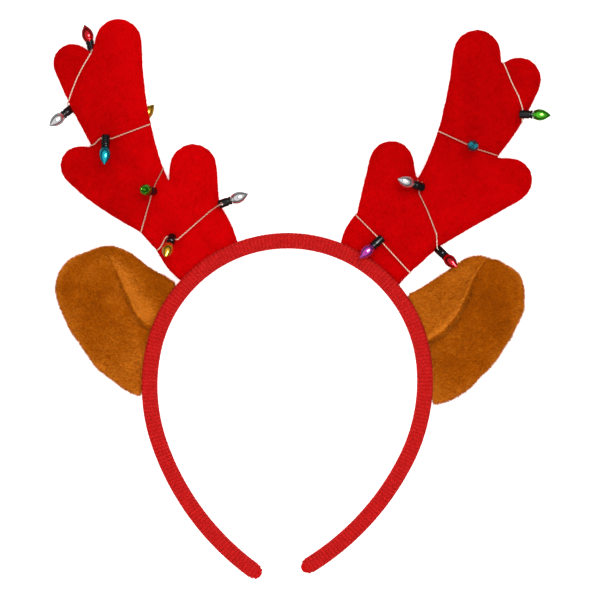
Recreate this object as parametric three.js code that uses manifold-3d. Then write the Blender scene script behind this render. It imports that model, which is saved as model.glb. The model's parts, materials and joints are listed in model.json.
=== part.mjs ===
// Christmas headband: a hoop in a knitted sleeve that carries two felt reindeer antlers, two plush
// ears and a cord of small coloured lamps wound round each antler.
// Millimetres. The headband lies on its back, so +Z is its front, +Y runs up to the antler tips and
// left and right are as seen from the front. The origin is the crown of the hoop, on the surface below.

import * as THREE from "three";
import { mergeVertices } from "three/addons/utils/BufferGeometryUtils.js";
import Module from "manifold-3d";

// Driving dimensions

const DEG = Math.PI / 180;
const GAP = 0.3;

const BAND = {
  thickness: 6.7,
  width: 9.5,
  corner: 2.2,
  cornerSteps: 3,
  lean: -3.9 * DEG,
  arcs: [
    { radius: 59, sweep: 81.3 * DEG },
    { radius: 75, sweep: 31.4 * DEG },
    { radius: 113.4, sweep: 45 * DEG },
  ],
  reach: { left: 198.5, right: 191.5 },
  step: 7,
  tip: 5,
  tipShares: [0.04, 0.3, 0.65],
};

const FELT = {
  half: 2.1,
  lean: 4 * DEG,
  pivotY: -8,
  edge: [
    { inset: 0, rise: 0 },
    { inset: 0.6, rise: 1.4 },
    { inset: 2, rise: 2.1 },
  ],
  arcStep: 24 * DEG,
  curveSteps: 6,
  baseSteps: 5,
};

const PLUSH = { thickness: 3.6, sectionsPerRow: 2 };

const SOCKET = {
  radius: 1.85,
  length: 5.7,
  chamfer: 0.3,
  groove: { depth: 0.3, width: 0.4, slope: 0.25, fromMouth: 0.7 },
  cup: 1,
  hole: 1.3,
  holeRadius: 0.7,
  holeSides: 8,
  sides: 10,
};

const BULB = {
  radius: 2.5,
  length: 7.5,
  stem: 0.8,
  sides: 10,
  flame: [
    { along: 0, wide: 0.66 },
    { along: 0.08, wide: 0.8 },
    { along: 0.22, wide: 0.96 },
    { along: 0.36, wide: 1 },
    { along: 0.54, wide: 0.92 },
    { along: 0.72, wide: 0.68 },
    { along: 0.88, wide: 0.34 },
    { along: 1, wide: 0 },
  ],
};

const CORD = { radius: 0.35, sides: 6, wrap: 2.4, wrapAngles: [90, 60, 30] };

const FELT_RED = { color: 0xc00508, roughness: 0.95, metalness: 0 };
const KNIT_RED = { color: 0xc41a1a, roughness: 0.9, metalness: 0 };
const PLUSH_BROWN = { color: 0xa5550a, roughness: 1, metalness: 0 };
const SOCKET_BLACK = { color: 0x08080a, roughness: 0.25, metalness: 0 };
const CORD_GOLD = { color: 0xb59a6a, roughness: 0.4, metalness: 0.9 };
const BULB_COLOURS = {
  red: 0xb01218,
  silver: 0xc8c8cc,
  gold: 0xc99a2c,
  teal: 0x0a7f86,
  green: 0x1f8f3a,
  magenta: 0xb0186a,
};

// Antlers, each an outline from the inner end of its base round to the outer end. A lobe is a round
// end, a corner a point or notch, and a pull bends the stretch between its neighbours.

const ANTLERS = {
  left: {
    turn: 1,
    base: { inner: -24.9, outer: -53.1 },
    outline: [
      { name: "inner side", pull: [-27.8, 8] },
      { name: "waist", corner: [-33.6, 16.2] },
      { name: "inner tine", lobe: [-44.6, 31.6], radius: 10.1 },
      { name: "inner notch", corner: [-54.8, 24.1] },
      { name: "stem side", pull: [-66.2, 51.4] },
      { name: "crown tine", lobe: [-76.6, 85.5], radius: 9.9 },
      { name: "crown notch", corner: [-87.8, 80.3] },
      { name: "outer tine", lobe: [-96.3, 76.5], radius: 8.2 },
      { name: "outer side", pull: [-97, 56.8] },
      { name: "brow notch", corner: [-87.7, 40.2] },
      { name: "brow tine", lobe: [-93.2, 32.4], radius: 8.4 },
      { name: "underside", pull: [-87.8, 14.8] },
      { name: "cord dent", corner: [-67.4, 4] },
      { name: "cord dent", corner: [-60.6, -3.5] },
      { name: "base side", pull: [-56.4, -12] },
    ],
  },
  right: {
    turn: -1,
    base: { inner: 18.1, outer: 47.5 },
    outline: [
      { name: "inner side", pull: [20.9, 7.6] },
      { name: "waist", corner: [25.9, 11.9] },
      { name: "inner tine", lobe: [40.6, 33.7], radius: 9.4 },
      { name: "inner notch", corner: [51.4, 25.4] },
      { name: "stem side", pull: [64.1, 48.2] },
      { name: "crown tine", lobe: [77.2, 80.6], radius: 10.1 },
      { name: "crown notch", corner: [87.7, 75.7] },
      { name: "outer tine", lobe: [95.2, 69.4], radius: 9.5 },
      { name: "outer side", pull: [95.7, 46.9] },
      { name: "brow notch", corner: [85.1, 35.5] },
      { name: "brow tine", lobe: [91.7, 26.2], radius: 9.4 },
      { name: "cord dent", corner: [61.9, -1.7] },
      { name: "cord dent", corner: [48.7, -13.5] },
    ],
  },
};

// Ears, each a row of sections from the hoop to the far end: the outer rim, the fold across the
// middle and the top edge. The first section lies on the hoop, at stations along it.

const EARS = {
  left: {
    base: { rim: -105, fold: -75.8, top: -55.1 },
    sections: [
      { rim: [-77, -61.9], fold: [-66.2, -34.6], top: [-58.7, -14.1] },
      { rim: [-89, -50.7], fold: [-69.9, -29.7], top: [-64.1, -10.8] },
      { rim: [-98.9, -35.3], fold: [-72.7, -23.2], top: [-69.2, -7.1] },
      { rim: [-103.5, -19.8], fold: [-75.7, -16.8], top: [-73.5, -4.5] },
      { rim: [-99.3, -9.5], fold: [-78.7, -10.8], top: [-77.4, -2.7] },
      { rim: [-86, -3.2], fold: [-83.2, -2.5], top: [-81.7, -2.2] },
    ],
  },
  right: {
    base: { rim: 100.6, fold: 73.5, top: 52.8 },
    sections: [
      { rim: [69.4, -66.6], fold: [62.4, -38.9], top: [54.6, -19.4] },
      { rim: [81.3, -55.9], fold: [66.7, -34.4], top: [60.2, -15.5] },
      { rim: [91.2, -43], fold: [70.1, -29], top: [65.4, -12.3] },
      { rim: [97.6, -28.4], fold: [72.9, -23.2], top: [69.7, -9.5] },
      { rim: [95.9, -15.5], fold: [75.7, -16.3], top: [73.3, -7.3] },
      { rim: [87.3, -8.6], fold: [81.5, -7.4], top: [78.7, -6.5] },
    ],
  },
};

// Heights of an ear's middle surface at each section, from the hoop outwards.
const EAR_HEIGHTS = [
  { rim: 3, valley: 2.6, crest: 6, top: 5.2, puff: 1 },
  { rim: 3.2, valley: 2.5, crest: 6.6, top: 5.4, puff: 1 },
  { rim: 3.4, valley: 2.5, crest: 6.8, top: 5.4, puff: 1 },
  { rim: 3.6, valley: 2.7, crest: 6.6, top: 5.2, puff: 1 },
  { rim: 3.8, valley: 3.1, crest: 6, top: 4.9, puff: 1 },
  { rim: 4, valley: 3.6, crest: 5, top: 4.6, puff: 0.8 },
  { rim: 4.2, valley: 4.1, crest: 4.3, top: 4.3, puff: 0.5 },
];

// One section across an ear. The share runs 0 to 1 from rim to fold and 1 to 2 from fold to top edge,
// and front and back say how much of the half thickness each skin stands off.
const EAR_ACROSS = [
  { share: 0, front: 0.35, back: 0.35 },
  { share: 0.08, front: 0.75, back: 0.75 },
  { share: 0.25, front: 1, back: 1 },
  { share: 0.5, front: 1, back: 1 },
  { share: 0.75, front: 1, back: 1 },
  { share: 0.97, front: 1, back: 1 },
  { share: 1, front: 0.4, back: 1 },
  { share: 1.06, front: 1, back: 1 },
  { share: 1.35, front: 1, back: 1 },
  { share: 1.7, front: 0.95, back: 0.95 },
  { share: 1.92, front: 0.7, back: 0.7 },
  { share: 2, front: 0.35, back: 0.35 },
];

// Lamps, numbered along their cord. The hole is where the cord crosses the socket, heading and rise
// point the bulb in degrees, and across is the cord's way through: a turn from the heading, up or down.
// Seat says which face of the felt the lamp lies on, or gives its height beside the edge.

const LAMPS = {
  left: [
    { colour: "red", hole: [-87.9, 81.5], seat: "edge", z: -4.8, heading: 107.5, rise: -14, across: "up" },
    { colour: "silver", hole: [-97.4, 56.6], seat: "edge", z: -4.7, heading: 218.4, rise: 20, across: 90 },
    { colour: "gold", hole: [-69.4, 49.2], seat: "back", heading: 50, rise: -6, across: -90 },
    { colour: "teal", hole: [-82, 44.3], seat: "front", heading: 268, rise: 26, across: -90 },
    { colour: "green", hole: [-61.9, 21.7], seat: "front", heading: 162, rise: 66, across: 90 },
    { colour: "silver", hole: [-32.3, 16.3], seat: "front", heading: 20.6, rise: 4, across: "up" },
    { colour: "gold", hole: [-53.8, 1.5], seat: "front", heading: 252, rise: 50, across: -90 },
  ],
  right: [
    { colour: "green", hole: [96.6, 54.7], seat: "front", heading: -2, rise: 6, across: -90 },
    { colour: "teal", hole: [74.9, 40.8], seat: "front", heading: 65, rise: 84, across: -90 },
    { colour: "silver", hole: [53, 23.6], seat: "front", heading: 160, rise: 30, across: 90 },
    { colour: "red", hole: [61.2, -4], seat: "edge", z: 1.9, heading: -43, rise: 34, across: "down" },
    { colour: "magenta", hole: [35.6, 0.8], seat: "front", heading: 221, rise: 16, across: 90 },
  ],
};

// The cord's stops round each antler. A stop lies on a face or at a height above the felt's middle,
// goes through a lamp, or rounds the edge from one face to the other.

const ROUTES = {
  left: [
    { at: [-80, 76], face: "back" },
    { at: [-87.2, 80], height: -8.2 },
    { lamp: 1 },
    { edge: [-88, 81.3], to: "front" },
    { at: [-91.5, 75.6], face: "front" },
    { at: [-94.2, 70.4], face: "front" },
    { at: [-96.2, 65.4], face: "front" },
    { edge: [-98.2, 59.9], from: "front" },
    { lamp: 2 },
    { at: [-91.5, 54.3], face: "back" },
    { lamp: 3 },
    { edge: [-62.3, 50.5], from: "back", to: "front" },
    { lamp: 4 },
    { edge: [-89.4, 41], from: "front", to: "back" },
    { edge: [-57.2, 31.9], from: "back", to: "front" },
    { lamp: 5 },
    { edge: [-67.7, 3.4], from: "front", to: "back" },
    { at: [-37, 15.5], face: "back" },
    { at: [-32.3, 16.3], height: -2.9 },
    { lamp: 6 },
    { at: [-34.2, 15.4], height: 6.3 },
    { at: [-36.9, 13.4], face: "front" },
    { lamp: 7 },
    { edge: [-61, -4], from: "front", to: "back" },
    { at: [-50.3, -7.3], face: "back" },
  ],
  right: [
    { at: [82.1, 67.5], face: "back" },
    { edge: [88.4, 77.2], from: "back", to: "front" },
    { at: [92, 68.4], face: "front" },
    { at: [95.2, 62], face: "front" },
    { lamp: 1 },
    { edge: [97.1, 50.8], to: "back" },
    { edge: [60.2, 47.6], from: "back", to: "front" },
    { lamp: 2 },
    { edge: [86.8, 36.9], from: "front", to: "back" },
    { edge: [51.6, 27], from: "back", to: "front" },
    { lamp: 3 },
    { at: [56.4, 12.3], face: "front" },
    { at: [60, 3], face: "front" },
    { lamp: 4 },
    { at: [60, -3.4], height: -3.7 },
    { at: [57, 0.5], face: "back" },
    { edge: [24.8, 11.8], from: "back", to: "front" },
    { lamp: 5 },
    { edge: [49.2, -14], from: "front", to: "back" },
    { at: [39.1, -9], face: "back" },
  ],
};

const wasm = await Module();
wasm.setup();

// Geometry helpers

function finish(vertices, faces) {
  const corner = (index) => vertices[index];
  let volume = 0;
  for (const [a, b, c] of faces) {
    volume += corner(a).dot(new THREE.Vector3().crossVectors(corner(b), corner(c)));
  }
  const outward = volume > 0 ? faces : faces.map(([a, b, c]) => [a, c, b]);
  const geometry = new THREE.BufferGeometry();
  const numbers = vertices.flatMap((vertex) => vertex.toArray());
  geometry.setAttribute("position", new THREE.Float32BufferAttribute(numbers, 3));
  geometry.setIndex(outward.flat());
  geometry.computeVertexNormals();
  return geometry;
}

// Faces across a closed ring, in zigzag from its first point to the middle of its length.
function zigzag(count) {
  const faces = [];
  for (let low = 0, high = count - 1; high - low > 1; ) {
    faces.push([low, low + 1, high]);
    low += 1;
    if (high - low > 1) {
      faces.push([low, high - 1, high]);
      high -= 1;
    }
  }
  return faces;
}

// A closed skin through rings with the same number of points.
function loft(rings, cap = zigzag(rings[0].length)) {
  const count = rings[0].length;
  const faces = [];
  for (let ring = 0; ring + 1 < rings.length; ring += 1) {
    for (let i = 0; i < count; i += 1) {
      const next = (i + 1) % count;
      const here = ring * count;
      const there = here + count;
      faces.push([here + i, here + next, there + next], [here + i, there + next, there + i]);
    }
  }
  const last = (rings.length - 1) * count;
  for (const [a, b, c] of cap) {
    faces.push([a, c, b], [last + a, last + b, last + c]);
  }
  return finish(rings.flat(), faces);
}

function toSolid(geometry) {
  const bare = geometry.clone();
  bare.deleteAttribute("normal");
  bare.deleteAttribute("uv");
  const merged = mergeVertices(bare, 1e-4);
  const triangles = [];
  for (let i = 0; i < merged.index.count; i += 3) {
    const [a, b, c] = [0, 1, 2].map((k) => merged.index.getX(i + k));
    if (a !== b && b !== c && c !== a) {
      triangles.push(a, b, c);
    }
  }
  const vertProperties = new Float32Array(merged.attributes.position.array);
  const triVerts = new Uint32Array(triangles);
  return new wasm.Manifold(new wasm.Mesh({ numProp: 3, vertProperties, triVerts }));
}

function fromSolid(solid) {
  const { vertProperties, triVerts } = solid.getMesh();
  const geometry = new THREE.BufferGeometry();
  geometry.setAttribute("position", new THREE.BufferAttribute(vertProperties, 3));
  geometry.setIndex(new THREE.BufferAttribute(triVerts, 1));
  geometry.computeVertexNormals();
  return geometry;
}

function mesh(name, geometry, finishOf) {
  const made = new THREE.Mesh(geometry, new THREE.MeshStandardMaterial(finishOf));
  made.name = name;
  return made;
}

// The hoop: three arcs down each side from the crown, the same left and right

// A point beside the hoop, at a length along its centreline from the crown and a distance outwards.
function bandPoint(station, outset) {
  const side = station < 0 ? -1 : 1;
  const place = new THREE.Vector2();
  let remaining = Math.abs(station);
  let turned = 0;
  for (const { radius, sweep } of BAND.arcs) {
    const angle = Math.min(remaining / radius, sweep);
    place.x += radius * (Math.sin(turned + angle) - Math.sin(turned));
    place.y += radius * (Math.cos(turned + angle) - Math.cos(turned));
    turned += angle;
    remaining -= angle * radius;
  }
  place.x += outset * Math.sin(turned);
  place.y += outset * Math.cos(turned);
  place.x *= side;
  return place.rotateAround(new THREE.Vector2(), BAND.lean);
}

const BAND_SIDE = BAND.thickness / 2 + GAP;

// Rounded rectangle across the sleeve, as outset and height.
function bandSection(shrink) {
  const points = [];
  const middle = BAND.width / 2;
  const reachOut = BAND.thickness / 2 - BAND.corner;
  const reachUp = middle - BAND.corner;
  for (const [out, up, start] of [[1, 1, 0], [-1, 1, 90], [-1, -1, 180], [1, -1, 270]]) {
    for (let i = 0; i <= BAND.cornerSteps; i += 1) {
      const angle = (start + (90 * i) / BAND.cornerSteps) * DEG;
      const outset = out * reachOut + BAND.corner * Math.cos(angle);
      const height = up * reachUp + BAND.corner * Math.sin(angle);
      points.push({ outset: outset * shrink, height: middle + height * shrink });
    }
  }
  return points;
}

function band() {
  const { reach, tip, tipShares, step } = BAND;
  const rounded = tipShares.map((share) => ({ inset: tip * share, shrink: Math.sqrt(1 - (1 - share) ** 2) }));
  const stations = rounded.map(({ inset, shrink }) => ({ station: inset - reach.left, shrink }));
  const first = tip - reach.left;
  const last = reach.right - tip;
  const steps = Math.round((last - first) / step);
  for (let i = 0; i <= steps; i += 1) {
    stations.push({ station: THREE.MathUtils.lerp(first, last, i / steps), shrink: 1 });
  }
  for (const { inset, shrink } of rounded.toReversed()) {
    stations.push({ station: reach.right - inset, shrink });
  }
  const rings = stations.map(({ station, shrink }) =>
    bandSection(shrink).map(({ outset, height }) => {
      const { x, y } = bandPoint(station, outset);
      return new THREE.Vector3(x, y, height);
    })
  );
  return mesh("band", loft(rings), KNIT_RED);
}

// Antlers

function bend(from, pull, to) {
  const curve = new THREE.QuadraticBezierCurve(from, pull, to);
  return curve.getPoints(FELT.curveSteps).slice(1);
}

// The point where a line from outside touches a lobe, for an outline that turns one way.
function touch(lobe, from, way) {
  const toCentre = lobe.centre.clone().sub(from);
  const distance = toCentre.length();
  const angle = toCentre.angle() - way * Math.asin(lobe.radius / distance);
  const reach = Math.sqrt(distance ** 2 - lobe.radius ** 2);
  return from.clone().add(new THREE.Vector2(Math.cos(angle), Math.sin(angle)).multiplyScalar(reach));
}

function lobeArc(lobe, start, end, turn) {
  const first = start.clone().sub(lobe.centre).angle();
  let swept = turn * (end.clone().sub(lobe.centre).angle() - first);
  swept = swept < 0 ? swept + 2 * Math.PI : swept;
  const steps = Math.ceil(swept / FELT.arcStep);
  const points = [];
  for (let i = 1; i <= steps; i += 1) {
    const angle = first + (turn * swept * i) / steps;
    const spoke = new THREE.Vector2(Math.cos(angle), Math.sin(angle)).multiplyScalar(lobe.radius);
    points.push(spoke.add(lobe.centre));
  }
  return points;
}

// The free outline of an antler, from the inner end of its base to the outer end.
function antlerOutline({ turn, base, outline }) {
  const vector = ([x, y]) => new THREE.Vector2(x, y);
  const stops = [
    { corner: bandPoint(base.inner, BAND_SIDE) },
    ...outline.map((row) => ({
      corner: row.corner && vector(row.corner),
      pull: row.pull && vector(row.pull),
      lobe: row.lobe && { centre: vector(row.lobe), radius: row.radius },
    })),
    { corner: bandPoint(base.outer, BAND_SIDE) },
  ];
  const points = [stops[0].corner];
  let pull = null;
  for (let i = 1; i < stops.length; i += 1) {
    const { corner, lobe } = stops[i];
    const here = points.at(-1);
    if (stops[i].pull) {
      pull = stops[i].pull;
      continue;
    }
    const arrive = corner ?? touch(lobe, pull ?? here, turn);
    points.push(...(pull ? bend(here, pull, arrive) : [arrive]));
    pull = null;
    if (lobe) {
      const next = stops[i + 1];
      const leave = touch(lobe, next.corner ?? next.pull, -turn);
      points.push(...lobeArc(lobe, arrive, leave, turn));
    }
  }
  return points;
}

// The outline moved in from the edge, closed along the hoop by its narrowed base.
function antlerRing(antler, outline, inset, height) {
  const inward = antler.turn;
  const ring = outline.map((point, i) => {
    const before = outline[Math.max(i - 1, 0)];
    const after = outline[Math.min(i + 1, outline.length - 1)];
    const arriving = i > 0 ? point.clone().sub(before).normalize() : after.clone().sub(point).normalize();
    const leaving = i + 1 < outline.length ? after.clone().sub(point).normalize() : arriving;
    const along = arriving.clone().add(leaving).normalize();
    const mitre = Math.min(1 / Math.max(along.dot(leaving), 0.1), 1.5);
    const normal = new THREE.Vector2(-along.y, along.x).multiplyScalar(inward * inset * mitre);
    return point.clone().add(normal);
  });
  const way = Math.sign(antler.base.outer - antler.base.inner);
  const inner = antler.base.inner + way * inset;
  const outer = antler.base.outer - way * inset;
  const edge = [];
  for (let i = 0; i <= FELT.baseSteps; i += 1) {
    edge.push(bandPoint(THREE.MathUtils.lerp(outer, inner, i / FELT.baseSteps), BAND_SIDE));
  }
  const free = ring.slice(1, -1);
  return [...free, ...edge].map(({ x, y }) => new THREE.Vector3(x, y, height));
}

function antler(side) {
  const shape = ANTLERS[side];
  const outline = antlerOutline(shape);
  const below = FELT.edge.slice(1).reverse().map(({ inset, rise }) => ({ inset, rise: -rise }));
  let rings = [...below, ...FELT.edge].map(({ inset, rise }) => antlerRing(shape, outline, inset, rise));
  if (shape.turn < 0) {
    rings = rings.map((ring) => ring.reverse());
  }
  const face = rings[0].map(({ x, y }) => new THREE.Vector2(x, y));
  const cap = THREE.ShapeUtils.triangulateShape(face, []);
  return mesh(`antler_${side}`, loft(rings, cap), FELT_RED);
}

// Ears

function earRows({ base, sections }) {
  const onBand = (station) => bandPoint(station, BAND_SIDE).toArray();
  const first = { rim: onBand(base.rim), fold: onBand(base.fold), top: onBand(base.top) };
  return [first, ...sections];
}

// A smooth run through one column of an ear's rows, as a function of 0 at the hoop to 1 at the end.
function columnCurve(rows, place, height) {
  const points = rows.map((row, i) => new THREE.Vector3(...row[place], EAR_HEIGHTS[i][height]));
  return new THREE.CatmullRomCurve3(points, false, "centripetal");
}

// A point of an ear's section, bowed to the hoop's curve where the ear starts.
function earPoint(base, t, share, corners) {
  const [start, end] = share < 1 ? ["rim", "fold"] : ["fold", "top"];
  const part = share < 1 ? share : share - 1;
  const onBand = (station) => bandPoint(station, BAND_SIDE);
  const curved = onBand(THREE.MathUtils.lerp(base[start], base[end], part));
  const straight = onBand(base[start]).lerp(onBand(base[end]), part);
  const bow = curved.sub(straight).multiplyScalar((1 - t) ** 3);
  const [from, to] = share < 1 ? corners.slice(0, 2) : corners.slice(2);
  return from.clone().lerp(to, part).add(new THREE.Vector3(bow.x, bow.y, 0));
}

function earRing({ base }, curves, t) {
  const [rim, valley, crest, top] = curves.map((curve) => curve.getPoint(t));
  const row = t * (EAR_HEIGHTS.length - 1);
  const low = Math.min(Math.floor(row), EAR_HEIGHTS.length - 2);
  const fill = THREE.MathUtils.lerp(EAR_HEIGHTS[low].puff, EAR_HEIGHTS[low + 1].puff, row - low);
  const half = (PLUSH.thickness / 2) * fill;
  const front = EAR_ACROSS.map((across) => {
    const point = earPoint(base, t, across.share, [rim, valley, crest, top]);
    return point.setZ(point.z + across.front * half);
  });
  const back = EAR_ACROSS.map((across) => {
    const point = earPoint(base, t, across.share, [rim, valley, valley, top]);
    return point.setZ(point.z - across.back * half);
  });
  return [...front, ...back.reverse()];
}

function ear(side) {
  const shape = EARS[side];
  const rows = earRows(shape);
  const columns = [["rim", "rim"], ["fold", "valley"], ["fold", "crest"], ["top", "top"]];
  const curves = columns.map(([place, height]) => columnCurve(rows, place, height));
  const steps = (rows.length - 1) * PLUSH.sectionsPerRow;
  const rings = [];
  for (let i = 0; i <= steps; i += 1) {
    rings.push(earRing(shape, curves, i / steps));
  }
  return mesh(`ear_${side}`, loft(rings), PLUSH_BROWN);
}

// Lamps, made along +Y with the cord's hole at the origin along +X

function lathe(profile, sides) {
  const points = profile.map(([radius, y]) => new THREE.Vector2(radius, y));
  return new THREE.LatheGeometry(points, sides);
}

function socketShape() {
  const { radius, length, chamfer, groove, hole, holeRadius, holeSides, cup, sides } = SOCKET;
  const back = -hole;
  const mouth = length - hole;
  const grooveEnd = mouth - groove.fromMouth;
  const grooveStart = grooveEnd - groove.width - 2 * groove.slope;
  const waist = radius - groove.depth;
  const cupRadius = BULB.stem + GAP;
  const body = lathe(
    [
      [0, back],
      [radius - chamfer, back],
      [radius, back + chamfer],
      [radius, grooveStart],
      [waist, grooveStart + groove.slope],
      [waist, grooveEnd - groove.slope],
      [radius, grooveEnd],
      [radius, mouth],
      [cupRadius, mouth],
      [cupRadius, mouth - cup],
      [0, mouth - cup],
    ],
    sides
  );
  const drill = new THREE.CylinderGeometry(holeRadius, holeRadius, 4 * radius, holeSides).rotateZ(90 * DEG);
  return fromSolid(toSolid(body).subtract(toSolid(drill)));
}

function bulbShape() {
  const { radius, length, stem, sides, flame } = BULB;
  const seat = SOCKET.length - SOCKET.hole + GAP;
  const foot = seat - SOCKET.cup;
  const glass = flame.map(({ along, wide }) => [wide * radius, seat + along * length]);
  return lathe([[0, foot], [stem, foot], [stem, seat], ...glass], sides);
}

const socketGeometry = socketShape();
const bulbGeometry = bulbShape();

function lampSeat({ seat, rise, z }) {
  const tilt = Math.abs(rise) * DEG;
  const lying = FELT.half + GAP + SOCKET.radius * Math.cos(tilt) + SOCKET.hole * Math.sin(tilt);
  return { front: lying, back: -(FELT.half + GAP + BULB.radius), edge: z }[seat];
}

// Where a lamp's hole lies, and the ways that its bulb and the cord point.
function lampFrame(lamp) {
  const heading = lamp.heading * DEG;
  const rise = lamp.rise * DEG;
  const level = Math.cos(rise);
  const point = new THREE.Vector3(level * Math.cos(heading), level * Math.sin(heading), Math.sin(rise));
  const hole = new THREE.Vector3(...lamp.hole, lampSeat(lamp));
  if (lamp.across === "up" || lamp.across === "down") {
    const upright = new THREE.Vector3(0, 0, lamp.across === "up" ? 1 : -1);
    const across = upright.addScaledVector(point, -upright.dot(point)).normalize();
    return { hole, point, across };
  }
  const run = heading + lamp.across * DEG;
  return { hole, point, across: new THREE.Vector3(Math.cos(run), Math.sin(run), 0) };
}

function lampPieces(lamp, name) {
  const { hole, point, across } = lampFrame(lamp);
  const group = new THREE.Group();
  const basis = new THREE.Matrix4().makeBasis(across, point, across.clone().cross(point));
  group.quaternion.setFromRotationMatrix(basis);
  group.position.copy(hole);
  const coated = { color: BULB_COLOURS[lamp.colour], roughness: 0.2, metalness: 1 };
  group.add(mesh(`socket_${name}`, socketGeometry, SOCKET_BLACK));
  group.add(mesh(`bulb_${name}`, bulbGeometry, coated));
  return group;
}

// Cords

const CORD_HEIGHT = FELT.half + GAP + CORD.radius;

function faceHeight(face) {
  return face === "front" ? CORD_HEIGHT : -CORD_HEIGHT;
}

// A quarter turn from a face down to the felt's edge.
function quarterRound(edge, towards, face) {
  const inward = towards.clone().sub(edge).normalize();
  return CORD.wrapAngles.map((degrees) => {
    const angle = degrees * DEG;
    const place = edge.clone().addScaledVector(inward, CORD.wrap * (1 - Math.cos(angle)));
    return new THREE.Vector3(place.x, place.y, faceHeight(face) * Math.sin(angle));
  });
}

function cordPoints(route, lamps) {
  const frames = lamps.map(lampFrame);
  const plan = ({ at, edge, lamp }) => {
    const [x, y] = at ?? edge ?? lamps[lamp - 1].hole;
    return new THREE.Vector2(x, y);
  };
  const reach = SOCKET.radius + CORD.radius + GAP;
  return route.flatMap((stop, i) => {
    if (stop.at) {
      return [new THREE.Vector3(...stop.at, stop.height ?? faceHeight(stop.face))];
    }
    if (stop.lamp) {
      const { hole, across } = frames[stop.lamp - 1];
      return [-reach, 0, reach].map((along) => hole.clone().addScaledVector(across, along));
    }
    const edge = plan(stop);
    const arriving = stop.from ? quarterRound(edge, plan(route[i - 1]), stop.from) : [];
    const leaving = stop.to ? quarterRound(edge, plan(route[i + 1]), stop.to).reverse() : [];
    return [...arriving, new THREE.Vector3(edge.x, edge.y, 0), ...leaving];
  });
}

// A round cord through its points, with the section carried along without twist.
function cordTube(points) {
  let side = new THREE.Vector3(0, 0, 1);
  const rings = points.map((point, i) => {
    const before = points[Math.max(i - 1, 0)];
    const after = points[Math.min(i + 1, points.length - 1)];
    const arriving = point.clone().sub(before).normalize();
    const leaving = after.clone().sub(point).normalize();
    const along = arriving.add(leaving).normalize();
    side = side.clone().addScaledVector(along, -side.dot(along)).normalize();
    const up = along.clone().cross(side);
    return Array.from({ length: CORD.sides }, (_, k) => {
      const angle = (2 * Math.PI * k) / CORD.sides;
      const offset = side.clone().multiplyScalar(CORD.radius * Math.cos(angle));
      return point.clone().add(offset.addScaledVector(up, CORD.radius * Math.sin(angle)));
    });
  });
  return loft(rings);
}

function cord(side) {
  return mesh(`cord_${side}`, cordTube(cordPoints(ROUTES[side], LAMPS[side])), CORD_GOLD);
}

// Each antler, with its cord and lamps, leans forward from the hoop's middle height

function dressedAntler(side) {
  const dressed = new THREE.Group();
  dressed.position.y = -FELT.pivotY;
  const lamps = LAMPS[side].map((lamp, i) => lampPieces(lamp, `${side}_${i + 1}`));
  dressed.add(antler(side), cord(side), ...lamps);
  const leaning = new THREE.Group();
  leaning.position.set(0, FELT.pivotY, BAND.width / 2);
  leaning.rotation.x = FELT.lean;
  leaning.add(dressed);
  return leaning;
}

const headband = new THREE.Group();
headband.add(band(), ear("left"), ear("right"), dressedAntler("left"), dressedAntler("right"));

export default headband;
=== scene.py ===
# %% [markdown]
# # A reindeer headband in felt, plush and knit
#
# This lesson dresses a plain model of a headband: a hoop in a knitted sleeve carries two felt
# antlers, two plush ears and, wound round each antler, a thread of toy lamps. The solids fix every
# size and place. Each step below makes one kind of piece and says why it is made that way.
# The headband lies on its back, so the front faces up and the antler tips point along +Y.

import json
import math

import bmesh
import bpy
import numpy as np
from mathutils import Matrix, Vector, kdtree, noise

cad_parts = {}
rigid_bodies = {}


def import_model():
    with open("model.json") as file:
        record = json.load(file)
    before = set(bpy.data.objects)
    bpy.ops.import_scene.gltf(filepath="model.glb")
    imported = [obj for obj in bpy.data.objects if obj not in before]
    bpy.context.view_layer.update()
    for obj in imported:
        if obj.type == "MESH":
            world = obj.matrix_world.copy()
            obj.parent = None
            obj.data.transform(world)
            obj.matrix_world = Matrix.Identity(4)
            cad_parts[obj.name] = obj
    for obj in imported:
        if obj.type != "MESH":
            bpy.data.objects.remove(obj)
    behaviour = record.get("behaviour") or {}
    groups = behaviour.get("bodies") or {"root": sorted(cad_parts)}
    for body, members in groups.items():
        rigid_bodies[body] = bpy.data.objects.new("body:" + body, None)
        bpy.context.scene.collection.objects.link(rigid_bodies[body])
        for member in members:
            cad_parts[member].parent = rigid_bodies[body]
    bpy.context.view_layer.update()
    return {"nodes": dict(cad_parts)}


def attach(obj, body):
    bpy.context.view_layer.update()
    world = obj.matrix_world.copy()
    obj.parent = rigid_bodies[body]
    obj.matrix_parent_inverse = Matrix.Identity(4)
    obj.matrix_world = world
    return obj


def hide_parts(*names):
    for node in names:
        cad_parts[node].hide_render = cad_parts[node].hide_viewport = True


for leftover in list(bpy.data.objects):
    bpy.data.objects.remove(leftover)

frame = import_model()
MM = 0.001

# %% [markdown]
# ## Table, light and camera
#
# A flat lay is shot straight down with a long lens, so that heights hardly shift on the picture.
# The camera could also be orthographic, but a lens can be moved to any other side later.
# The table is a white light table, which hides shadows as the picture does. Soft boxes light the
# cloth from above and three sides. Shiny lamps would mirror them all, so the boxes are hidden from
# mirrors, and one card that only mirrors see puts a single streak on each bulb.

# %% Camera over the table
PHOTO_PIXELS = 600
PIXEL_MM = 0.43
CROWN_PIXEL_X = 297
CROWN_PIXEL_Y = 241
LENS_MM = 300
SENSOR_MM = 36
FOCUS_HEIGHT_MM = 6

scene = bpy.context.scene
view_width = PHOTO_PIXELS * PIXEL_MM
view_distance = view_width * LENS_MM / SENSOR_MM
view_x = (PHOTO_PIXELS / 2 - CROWN_PIXEL_X) * PIXEL_MM
view_y = (CROWN_PIXEL_Y - PHOTO_PIXELS / 2) * PIXEL_MM

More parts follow.
